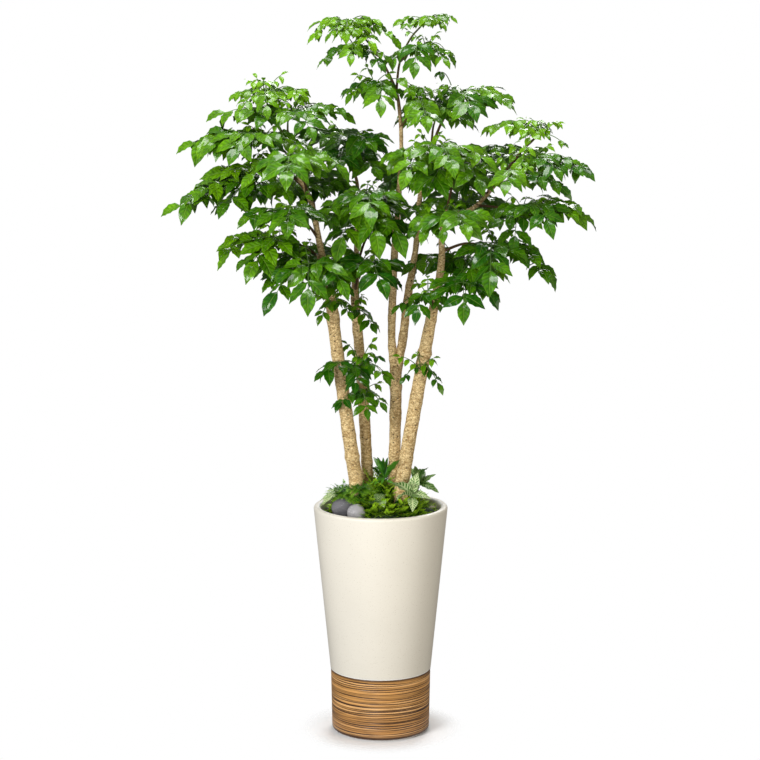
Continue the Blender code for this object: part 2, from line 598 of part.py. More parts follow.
def first_clear(space, poses):
    """The first of several ways to hold a blade that touches nothing, or None."""
    for pose in poses:
        if space.is_free(*lone_blade(pose, CLEARANCE)):
            space.add(*lone_blade(pose, 0.0))
            return pose
    return None


def side_pose(root, tangent, side, angles, length, wave):
    """A side leaflet: out from the rib, swept forward, hanging by the droop angle."""
    droop, sweep = (math.radians(angle) for angle in angles)
    out = side * math.sin(sweep) + tangent * math.cos(sweep)
    flat = (out - UP * out.dot(UP)).normalized()
    along = (flat * math.cos(droop) - UP * math.sin(droop)).normalized()
    on_right = side.dot(tangent.cross(UP)) > 0
    across = tangent if on_right else -tangent
    across = (across - along * across.dot(along)).normalized()
    return {"root": root, "along": along, "across": across, "length": length,
            "width": LEAFLET_WIDTH * length, "bend": LEAFLET_BEND, "wave": wave,
            "outline": LEAFLET_OUTLINE}


def last_pose(root, tip, side, droop):
    """The leaflet at the end of the rib, which reaches for the frond's tip."""
    reach = (tip - root).length
    along = Quaternion(side, -math.radians(droop)) @ (tip - root).normalized()
    return {"root": root, "along": along, "across": -(side - along * side.dot(along)).normalized(),
            "length": reach, "width": LEAFLET_WIDTH * reach, "bend": LAST_BEND,
            "wave": LAST_WAVE * reach, "outline": LEAFLET_OUTLINE}


class Frond:
    """One compound leaf: an arched rib with pairs of leaflets and a last one at its end."""

    def __init__(self, start, root, tip, arch, pairs):
        self.start, self.root, self.aim, self.arch, self.pairs = start, root, tip, arch, pairs
        self.swing = 0.0

    def tip(self):
        """Where the last leaflet ends, after the swing that keeps the rib clear."""
        turn = Quaternion(UP, math.radians(self.swing))
        return self.start + turn @ (self.aim - self.start)

    def place(self, share):
        """A point on the arch from the root to the tip."""
        tip = self.tip()
        knee = (self.start + tip) / 2 + UP * 2 * self.arch
        return self.start * (1 - share) ** 2 + knee * 2 * share * (1 - share) + tip * share ** 2

    def frame(self, share):
        """Direction along the arch and level side vector to its right."""
        tangent = (self.place(share + SMALL_SHARE) - self.place(share - SMALL_SHARE)).normalized()
        return tangent, tangent.cross(UP).normalized()

    def shares(self):
        """Where the pairs stand along the arch."""
        first, last = PAIR_SPAN[self.pairs]
        return [first + (last - first) * k / max(self.pairs - 1, 1) for k in range(self.pairs)]

    def outer_rib(self, extra):
        """The rib past its root, as a body to test."""
        sheet = Sheet()
        rows = []
        for share in RIB_TESTS:
            rows.append(sheet.row(self.place(share), self.frame(share)[1],
                                  RACHIS_HALF_WIDTH + extra, RACHIS_THICKNESS))
        sheet.ribbon(rows)
        return sheet.solid(extra)

    def hold_clear(self, space):
        """Swing the frond about the upright until its rib is clear."""
        for swing in FROND_TRIALS:
            self.swing = swing
            if space.is_free(*self.outer_rib(CLEARANCE)):
                break
        space.add(*self.outer_rib(0.0))

    def grow(self, sheet, space, rng):
        """Add the rib and its leaflets to a shoot's sheet, each leaflet held clear."""
        total = (self.tip() - self.start).length
        reach = ROOT_HALF_LENGTH / total
        rows = [self.root]
        for share in self.shares():
            for edge in (share - reach, share + reach):
                rows.append(sheet.row(self.place(edge), self.frame(edge)[1],
                                      RACHIS_HALF_WIDTH, RACHIS_THICKNESS))
        end, side = self.place(RIB_END), self.frame(RIB_END)[1]
        rows.append(sheet.row(end, side, RACHIS_HALF_WIDTH, RACHIS_THICKNESS))
        sheet.ribbon(rows)
        last = first_clear(space, (last_pose(end, self.tip(), side, LAST_LEAN * droop)
                                   for droop, _ in LEAFLET_TRIALS))
        if last:
            sheet.blade(rows[-1][1], rows[-1][0], last)
        size = min(LEAFLET_LENGTH, LEAFLET_SHARE * total)
        for k, share in enumerate(self.shares()):
            tangent, side = self.frame(share)
            near, far = rows[1 + 2 * k], rows[2 + 2 * k]
            for turn in (1, -1):
                root = self.place(share) + side * turn * RACHIS_HALF_WIDTH
                droop = LEAFLET_DROOP + rng.uniform(*DROOP_SPREAD)
                sweep = LEAFLET_SWEEP + rng.uniform(*SWEEP_SPREAD)
                length = size * rng.uniform(*LENGTH_SPREAD)
                wave = LEAFLET_WAVE * length * rng.choice((1, -1))
                pose = first_clear(space, (
                    side_pose(root, tangent, side * turn, (droop + more, sweep + swept),
                              length * shrink, wave)
                    for shrink in (1.0, SHRUNK) for more, swept in LEAFLET_TRIALS))
                if pose and turn == 1:
                    sheet.blade(far[0], near[0], pose)
                elif pose:
                    sheet.blade(near[1], far[1], pose)


class Shoot:
    """A short green stem on a limb's end, with its fronds, all one sheet."""

    def __init__(self, name, limb):
        self.name = name
        self.sheet = Sheet()
        self.fronds = []
        self.rng = random.Random(name)
        self.make_stem(limb, SHOOTS[name])

    def make_stem(self, limb, wanted):
        """The stem's rows, and each frond set on an edge: the straightest at the end."""
        end, before = Vector(limb[-1][:3]), Vector(limb[-2][:3])
        ahead = (end - before).normalized()
        foot = end + ahead * GAP
        bend = foot + ahead * STEM_FOOT
        aims = [Vector(frond[:3]) for frond in wanted]
        way = sum(((aim - foot).normalized() for aim in aims), Vector())
        way = (way.normalized() + STEM_AHEAD * ahead + STEM_RISE * UP).normalized()
        side = way.cross(UP).normalized()
        order = sorted(range(len(wanted)), key=lambda k: -(aims[k] - bend).normalized().dot(way))
        foot_side = (side - ahead * side.dot(ahead)).normalized()
        rows = [self.sheet.row(foot, foot_side, STEM_HALF_WIDTH, STEM_THICKNESS),
                self.sheet.row(bend, side, STEM_HALF_WIDTH, STEM_THICKNESS)]
        place = bend
        for k in sorted(order[1:]):
            near = self.sheet.row(place + way * STEM_STEP, side, STEM_HALF_WIDTH, STEM_THICKNESS)
            place = place + way * (STEM_STEP + 2 * RACHIS_HALF_WIDTH)
            far = self.sheet.row(place, side, STEM_HALF_WIDTH, STEM_THICKNESS)
            rows += [near, far]
            on_right = (aims[k] - place).dot(side) > 0
            root = (near[0], far[0]) if on_right else (far[1], near[1])
            self.add_frond(root, wanted[k])
        rows.append(self.sheet.row(place + way * STEM_STEP, side, RACHIS_HALF_WIDTH,
                                   RACHIS_THICKNESS))
        self.sheet.ribbon(rows)
        self.add_frond(rows[-1], wanted[order[0]])

    def add_frond(self, root, wanted):
        """A frond whose rib starts on a pair of the stem's points."""
        x, y, z, arch, pairs = wanted
        start = (self.sheet.points[root[0]] + self.sheet.points[root[1]]) / 2
        self.fronds.append(Frond(start, root, Vector((x, y, z)), arch, pairs))

    def build(self, space):
        """Grow every frond and make the body."""
        for frond in self.fronds:
            frond.grow(self.sheet, space, self.rng)
        return mesh_object("shoot_" + self.name, *self.sheet.solid())


def make_wood(space, materials):
    """The four canes, each with its limbs joined in one body."""
    for name, limbs in CANES.items():
        pieces = []
        for limb_name, limb in limbs.items():
            sides = TRUNK_SIDES if limb[0][3] > TRUNK_RADIUS else LIMB_SIDES
            vertices, faces = tube(limb, sides)
            space.add(vertices, faces)
            pieces.append(mesh_object(limb_name, vertices, faces))
        cane = combine(pieces[0], pieces[1:], "UNION")
        cane.name = name
        finish(cane, materials["cane_bark"])


def make_shoots(space, materials):
    """One body for each leafy shoot. Every stem and rib has its place before any leaflet."""
    shoots = [Shoot(name, limb) for limbs in CANES.values() for name, limb in limbs.items()]
    for shoot in shoots:
        space.add(*shoot.sheet.solid())
    for shoot in shoots:
        for frond in shoot.fronds:
            frond.hold_clear(space)
    for shoot in shoots:
        kind = "young_leaf" if shoot.name in YOUNG_SHOOTS else "leaf"
        finish(shoot.build(space), materials[kind])


def rosette_root(name, grown=0.0, below=0.0):
    """Points and faces of an underplant's short stem, down in the soil."""
    (x, y), _, _, height, _, _ = ROSETTES[name]
    return tube(((x, y, SOIL_TOP - ROOT_DEPTH - below, ROOT_RADIUS),
                 (x, y, SOIL_TOP + height, ROOT_RADIUS)), ROOT_SIDES, grown)


def make_rosette(name, space, materials):
    """An underplant: leaves round a short stem, the outer ones low and the inner ones steep."""
    (x, y), count, length, height, (low, high), kind = ROSETTES[name]
    rng = random.Random(name)
    is_fern = kind == "fern"
    stem = mesh_object(name, *rosette_root(name))
    leaves = []
    for k in range(count):
        share = k / max(count - 1, 1)
        lift = low + (high - low) * share
        heading = math.degrees(k * GOLDEN_ANGLE) + rng.uniform(*HEADING_SPREAD)
        root = Vector((x, y, SOIL_TOP + height * (LOW_LEAF + LEAF_RISE * share)))
        size = length * (1.0 - INNER_SHORTER * share) * rng.uniform(*LEAF_SPREAD)
        pose = first_clear(space, (
            leaf_pose(root, heading + turned_by, lift + lifted, size, is_fern)
            for turned_by, lifted in LEAF_TRIALS))
        if pose:
            sheet = Sheet()
            first, second = (sheet.point(root + pose["across"] * part, BLADE_THICKNESS)
                             for part in (LEAF_ROOT_HALF, -LEAF_ROOT_HALF))
            sheet.blade(first, second, pose)
            leaves.append(mesh_object(name + "_leaf", *sheet.solid()))
    finish(combine(stem, leaves, "UNION"), materials[kind])


def leaf_pose(root, heading, lift, length, is_fern):
    """A leaf that rises from a root by its lift angle and bends over."""
    heading, lift = math.radians(heading), math.radians(lift)
    flat = Vector((math.cos(heading), math.sin(heading), 0.0))
    along = flat * math.cos(lift) + UP * math.sin(lift)
    across = UP.cross(flat)
    width = (FERN_WIDTH if is_fern else LEAF_WIDTH) * length
    return {"root": root, "along": along, "across": across, "length": length, "width": width,
            "bend": LEAF_BEND, "wave": LEAF_WAVE * length,
            "outline": FERN_OUTLINE if is_fern else LEAF_OUTLINE}


def make_mound(name, material):
    """A moss mound, its tufts raised from a low dome by turns round each ring. Gives its
    points and faces."""
    x, y, half_x, half_y, height = MOUNDS[name]
    rng = random.Random(name)
    foot = SOIL_TOP + GAP
    vertices = []
    for ring, (spread, rise) in enumerate(MOUND_RINGS):
        for step in range(MOUND_STEPS):
            angle = 2 * math.pi * (step + 0.5 * (ring % 2)) / MOUND_STEPS
            tuft = 1.0 if ring == 0 else rng.uniform(*TUFT_SPREAD) - TUFT_DIP * (step % 2)
            vertices.append(Vector((x + half_x * spread * tuft * math.cos(angle),
                                    y + half_y * spread * tuft * math.sin(angle),
                                    foot + height * rise * tuft)))
    top = len(vertices)
    vertices.append(Vector((x, y, foot + height)))
    faces = [tuple(reversed(range(MOUND_STEPS)))]
    for ring in range(len(MOUND_RINGS) - 1):
        for step in range(MOUND_STEPS):
            a, b = ring * MOUND_STEPS + step, ring * MOUND_STEPS + (step + 1) % MOUND_STEPS
            faces += [(a, b, b + MOUND_STEPS), (a, b + MOUND_STEPS, a + MOUND_STEPS)]
    last = top - MOUND_STEPS
    faces += [(last + step, last + (step + 1) % MOUND_STEPS, top) for step in range(MOUND_STEPS)]
    finish(mesh_object(name, vertices, faces), material)
    return vertices, faces


def make_pebble(name, material):
    """A smooth pebble that lies on a small flat."""
    x, y, sizes, turn = PEBBLES[name]
    rng = random.Random(name)
    mesh = bmesh.new()
    bmesh.ops.create_icosphere(mesh, subdivisions=2, radius=1.0)
    lean = Vector((rng.uniform(-1, 1), rng.uniform(-1, 1), rng.uniform(-1, 1)))
    turn = Quaternion(UP, math.radians(turn))
    for vertex in mesh.verts:
        spot = vertex.co * (1 + PEBBLE_UNEVEN * vertex.co.dot(lean))
        spot.z = max(spot.z, -PEBBLE_FLAT)
        spot = turn @ Vector((spot.x * sizes[0], spot.y * sizes[1], spot.z * sizes[2]))
        vertex.co = spot + Vector((x, y, SOIL_TOP + GAP + PEBBLE_FLAT * sizes[2]))
    pebble = bmesh_object(name, mesh)
    finish(pebble, material)
    return pebble


def make_soil(material):
    """The soil that fills the shell, with a plain hole for each cane and each root."""
    edge = inner_radius(SOIL_TOP) - GAP
    floor = FLOOR_THICKNESS + GAP
    soil = turned("soil", ((0.0, floor), (inner_radius(floor) - GAP, floor), (edge, SOIL_TOP),
                           (0.0, SOIL_TOP)), closed=False)
    cutters = []
    for name, limbs in CANES.items():
        trunk = next(iter(limbs.values()))
        foot, over = Vector(trunk[0][:3]), Vector(trunk[1][:3])
        lower = foot - (over - foot).normalized() * GAP
        radius = trunk[0][3]
        hole = tube(((*lower, radius), (*over, radius)), TRUNK_SIDES, GAP)
        cutters.append(mesh_object("hole_" + name, *hole))
    for name in ROSETTES:
        cutters.append(mesh_object("hole_" + name, *rosette_root(name, GAP, GAP)))
    finish(combine(soil, cutters, "DIFFERENCE"), material)


def make_underplanting(space, materials):
    """Pebbles, moss mounds and rosettes on the soil."""
    for name in PEBBLES:
        pebble = make_pebble(name, materials[name])
        space.add([v.co.copy() for v in pebble.data.vertices],
                  [tuple(face.vertices) for face in pebble.data.polygons])
    for name in MOUNDS:
        space.add(*make_mound(name, materials["moss"]))
    for name in ROSETTES:
        space.add(*rosette_root(name))
    for name in ROSETTES:
        make_rosette(name, space, materials)


def clear_scene():
    """Remove whatever objects the scene holds."""
    for found in list(bpy.data.objects):
        bpy.data.objects.remove(found)


def main():
    """Build every piece of the potted plant."""
    clear_scene()
    materials = make_materials()
    space = Space()
    finish(pot_shell(), materials["pot_cream"])
    finish(pot_band(), materials["band_wood"])
    make_soil(materials["soil_bark"])
    make_wood(space, materials)
    make_shoots(space, materials)
    make_underplanting(space, materials)


main()
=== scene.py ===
"""Looks of a potted china doll plant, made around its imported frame.

The frame holds the pot, the soil, four canes and a coarse leafy shoot on each twig. Here the
pot gets its speckled wall and its grooved wood foot, the canes their bark, and each shoot its
compound leaves, with every leaflet folded, waved and quilted by its veins. Metres, +Z up.
"""

import json
import math
import random
from contextlib import contextmanager

import bmesh
import bpy
from bpy.props import FloatProperty, FloatVectorProperty, IntProperty, PointerProperty
from mathutils import Matrix, Quaternion, Vector
from mathutils.bvhtree import BVHTree
from mathutils.kdtree import KDTree

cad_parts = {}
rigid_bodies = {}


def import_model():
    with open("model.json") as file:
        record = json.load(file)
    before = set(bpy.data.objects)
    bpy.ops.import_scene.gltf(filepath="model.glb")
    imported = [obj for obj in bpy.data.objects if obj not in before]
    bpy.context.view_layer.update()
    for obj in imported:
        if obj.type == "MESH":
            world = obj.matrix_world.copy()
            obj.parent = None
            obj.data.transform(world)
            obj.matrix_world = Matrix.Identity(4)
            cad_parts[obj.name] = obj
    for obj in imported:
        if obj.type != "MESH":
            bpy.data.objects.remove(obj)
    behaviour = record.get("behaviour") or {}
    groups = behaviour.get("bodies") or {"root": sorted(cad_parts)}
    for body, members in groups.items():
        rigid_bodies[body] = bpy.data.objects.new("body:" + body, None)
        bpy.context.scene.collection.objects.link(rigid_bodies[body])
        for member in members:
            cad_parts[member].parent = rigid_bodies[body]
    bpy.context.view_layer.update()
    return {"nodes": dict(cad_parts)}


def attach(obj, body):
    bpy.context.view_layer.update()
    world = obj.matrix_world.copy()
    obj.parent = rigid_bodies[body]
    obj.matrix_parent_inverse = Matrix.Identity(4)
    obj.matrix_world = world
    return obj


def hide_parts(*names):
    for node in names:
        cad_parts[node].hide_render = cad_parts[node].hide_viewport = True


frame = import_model()

bl_info = {
    "name": "Potted China Doll Plant",
    "version": (1, 0, 0),
    "blender": (4, 5, 0),
    "location": "3D View > Sidebar > Plant",
    "description": "A tall pot plant with compound leaves, in a cream pot with a wood foot",
    "category": "Object",
}

UP = Vector((0.0, 0.0, 1.0))
ROOT = "root"
GOLDEN_ANGLE = 2.39996

# Pot, as in the frame
POT_HEIGHT = 0.550
RIM_RADIUS = 0.160
RIM_WALL = 0.0165
RIM_ROUND = 0.0060
SEAM_HEIGHT = 0.151
SEAM_RADIUS = 0.121
SEAM_ROUND = 0.0012
FOOT_RADIUS = 0.1175
FOOT_ROUND = 0.007
BAND_THICKNESS = 0.012
BAND_LIFT = 0.002
FLOOR_THICKNESS = 0.030
FLOOR_RADIUS = 0.092
SOIL_TOP = 0.530
GAP = 0.0003
POT_STEPS = 144

# Wood, as in the frame. A limb is named for the shoot that it carries, and its points are
# x, y, z and radius, from its root up.
CANES = {
    "cane_left": {
        "left_top": (
            (-0.030, -0.030, 0.400, 0.0165), (-0.051, -0.030, 0.560, 0.0165),
            (-0.072, -0.031, 0.706, 0.0160), (-0.105, -0.036, 0.948, 0.0145),
            (-0.116, -0.038, 1.043, 0.0138), (-0.130, -0.038, 1.115, 0.0095),
            (-0.147, -0.036, 1.204, 0.0072), (-0.160, -0.034, 1.270, 0.0062),
            (-0.200, -0.032, 1.360, 0.0045), (-0.229, -0.028, 1.436, 0.0034),
            (-0.255, -0.025, 1.490, 0.0026)),
        "left_high": ((-0.216, -0.030, 1.402, 0.0026), (-0.214, -0.050, 1.455, 0.0022)),
        "left_tier": (
            (-0.200, -0.032, 1.360, 0.0030), (-0.222, -0.055, 1.395, 0.0026),
            (-0.250, -0.072, 1.415, 0.0022)),
        "left_front": (
            (-0.170, -0.034, 1.292, 0.0034), (-0.180, -0.080, 1.345, 0.0028),
            (-0.196, -0.125, 1.362, 0.0022)),
        "left_far": (
            (-0.178, -0.033, 1.310, 0.0036), (-0.216, -0.024, 1.342, 0.0030),
            (-0.260, -0.010, 1.352, 0.0024)),
        "left_inner": (
            (-0.144, -0.036, 1.188, 0.0036), (-0.165, -0.068, 1.222, 0.0030),
            (-0.192, -0.095, 1.240, 0.0022)),
        "left_mid": (
            (-0.134, -0.038, 1.136, 0.0040), (-0.172, -0.042, 1.170, 0.0032),
            (-0.212, -0.050, 1.182, 0.0024)),
        "left_low": (
            (-0.119, -0.038, 1.056, 0.0040), (-0.138, -0.095, 1.112, 0.0032),
            (-0.155, -0.135, 1.128, 0.0024)),
        "left_back": (
            (-0.152, -0.035, 1.230, 0.0036), (-0.158, 0.030, 1.272, 0.0030),
            (-0.170, 0.080, 1.290, 0.0024)),
        "left_back_low": (
            (-0.122, -0.038, 1.070, 0.0040), (-0.140, 0.020, 1.112, 0.0032),
            (-0.156, 0.062, 1.128, 0.0024)),
        "left_sprout": ((-0.114, -0.038, 1.026, 0.0030), (-0.108, -0.066, 1.036, 0.0022)),
    },
    "cane_back": {
        "back_top": (
            (-0.022, 0.022, 0.400, 0.0138), (-0.029, 0.022, 0.560, 0.0138),
            (-0.036, 0.030, 0.706, 0.0134), (-0.045, 0.040, 0.852, 0.0126),
            (-0.058, 0.060, 0.995, 0.0112), (-0.061, 0.070, 1.046, 0.0098),
            (-0.058, 0.088, 1.130, 0.0068), (-0.056, 0.104, 1.215, 0.0054),
            (-0.057, 0.118, 1.315, 0.0040), (-0.083, 0.122, 1.364, 0.0026)),
        "middle": (
            (-0.057, 0.097, 1.178, 0.0036), (-0.048, 0.040, 1.235, 0.0030),
            (-0.036, -0.020, 1.268, 0.0022)),
        "middle_low": (
            (-0.061, 0.072, 1.056, 0.0038), (-0.054, 0.010, 1.108, 0.0030),
            (-0.046, -0.045, 1.128, 0.0022)),
        "back_low": (
            (-0.059, 0.083, 1.106, 0.0038), (-0.042, 0.130, 1.160, 0.0030),
            (-0.030, 0.172, 1.180, 0.0022)),
        "trunk_sprout_high": ((-0.059, 0.062, 1.004, 0.0030), (-0.062, 0.034, 1.012, 0.0022)),
        "trunk_sprout": ((-0.046, 0.041, 0.868, 0.0034), (-0.048, 0.006, 0.884, 0.0024)),
        "trunk_sprout_low": ((-0.042, 0.037, 0.808, 0.0032), (-0.044, 0.004, 0.820, 0.0022)),
    },
    "cane_centre": {
        "top_left": (
            (0.026, 0.012, 0.400, 0.0138), (0.030, 0.012, 0.560, 0.0138),
            (0.034, 0.012, 0.706, 0.0136), (0.036, 0.012, 0.858, 0.0134),
            (0.030, 0.011, 0.906, 0.0106), (0.026, 0.010, 0.950, 0.0092),
            (0.028, 0.008, 1.043, 0.0092),
            (0.033, 0.004, 1.161, 0.0084), (0.042, 0.000, 1.279, 0.0066),
            (0.048, 0.000, 1.394, 0.0050), (0.045, 0.000, 1.470, 0.0042),
            (0.034, 0.000, 1.535, 0.0036), (-0.004, 0.000, 1.611, 0.0028),
            (-0.052, 0.000, 1.668, 0.0022)),
        "top_left_low": ((-0.006, 0.000, 1.613, 0.0024), (-0.040, -0.022, 1.626, 0.0020)),
        "top_right": (
            (0.036, 0.000, 1.526, 0.0030), (0.044, 0.000, 1.596, 0.0026),
            (0.068, 0.002, 1.650, 0.0022), (0.094, 0.004, 1.680, 0.0020)),
        "top_right_low": ((0.046, 0.000, 1.600, 0.0022), (0.074, -0.020, 1.624, 0.0020)),
        "high_left": ((0.038, 0.000, 1.512, 0.0026), (0.014, -0.022, 1.540, 0.0020)),
        "high_right": ((0.047, 0.000, 1.448, 0.0028), (0.074, -0.030, 1.488, 0.0020)),
        "crown_right": (
            (0.037, 0.012, 0.858, 0.0112), (0.045, 0.015, 0.906, 0.0106),
            (0.053, 0.019, 0.952, 0.0103),
            (0.066, 0.030, 1.058, 0.0092), (0.083, 0.045, 1.161, 0.0070),
            (0.094, 0.060, 1.290, 0.0052), (0.122, 0.074, 1.396, 0.0042),
            (0.140, 0.070, 1.448, 0.0030), (0.160, 0.064, 1.488, 0.0024)),
        "centre_front": (
            (0.100, 0.063, 1.312, 0.0034), (0.112, -0.010, 1.368, 0.0028),
            (0.120, -0.075, 1.384, 0.0022)),
        "crown_back": (
            (0.119, 0.073, 1.386, 0.0030), (0.124, 0.120, 1.436, 0.0026),
            (0.130, 0.160, 1.456, 0.0022)),
        "centre_back": (
            (0.091, 0.056, 1.250, 0.0036), (0.100, 0.115, 1.292, 0.0030),
            (0.110, 0.165, 1.308, 0.0024)),
    },
    "cane_right": {
        "right_top": (
            (0.020, -0.030, 0.400, 0.0165), (0.044, -0.030, 0.560, 0.0165),
            (0.066, -0.030, 0.706, 0.0160), (0.108, -0.030, 0.948, 0.0145),
            (0.127, -0.030, 1.043, 0.0106),
            (0.141, -0.030, 1.126, 0.0084), (0.143, -0.030, 1.190, 0.0072),
            (0.150, -0.030, 1.240, 0.0064), (0.188, -0.030, 1.250, 0.0056),
            (0.228, -0.030, 1.272, 0.0050), (0.291, -0.030, 1.348, 0.0038),
            (0.325, -0.030, 1.392, 0.0030), (0.360, -0.030, 1.426, 0.0022)),
        "right_far": ((0.294, -0.030, 1.352, 0.0028), (0.330, -0.058, 1.368, 0.0022)),
        "right_tier": ((0.262, -0.030, 1.313, 0.0030), (0.292, -0.095, 1.330, 0.0022)),
        "right_reach": (
            (0.222, -0.030, 1.268, 0.0034), (0.262, -0.046, 1.266, 0.0028),
            (0.300, -0.055, 1.262, 0.0022)),
        "right_mid": (
            (0.142, -0.030, 1.160, 0.0038), (0.195, -0.062, 1.182, 0.0030),
            (0.245, -0.082, 1.178, 0.0024)),
        "right_front": (
            (0.142, -0.030, 1.178, 0.0036), (0.147, -0.085, 1.226, 0.0030),
            (0.152, -0.130, 1.236, 0.0022)),
        "right_up": (
            (0.149, -0.030, 1.234, 0.0036), (0.162, -0.030, 1.296, 0.0030),
            (0.172, -0.026, 1.340, 0.0022)),
        "right_low": (
            (0.129, -0.030, 1.052, 0.0038), (0.152, -0.070, 1.088, 0.0030),
            (0.176, -0.100, 1.094, 0.0022)),
        "right_low_front": (
            (0.122, -0.030, 1.018, 0.0034), (0.118, -0.078, 1.056, 0.0028),
            (0.112, -0.108, 1.062, 0.0022)),
        "right_back": (
            (0.146, -0.030, 1.212, 0.0036), (0.164, 0.030, 1.240, 0.0030),
            (0.182, 0.082, 1.244, 0.0022)),
        "right_back_high": (
            (0.252, -0.030, 1.301, 0.0032), (0.268, 0.030, 1.344, 0.0026),
            (0.282, 0.080, 1.356, 0.0022)),
        "right_back_low": (
            (0.132, -0.030, 1.074, 0.0036), (0.152, 0.030, 1.112, 0.0030),
            (0.170, 0.072, 1.120, 0.0022)),
        "right_sprout": ((0.097, -0.030, 0.884, 0.0030), (0.094, -0.062, 0.892, 0.0022)),
    },
}

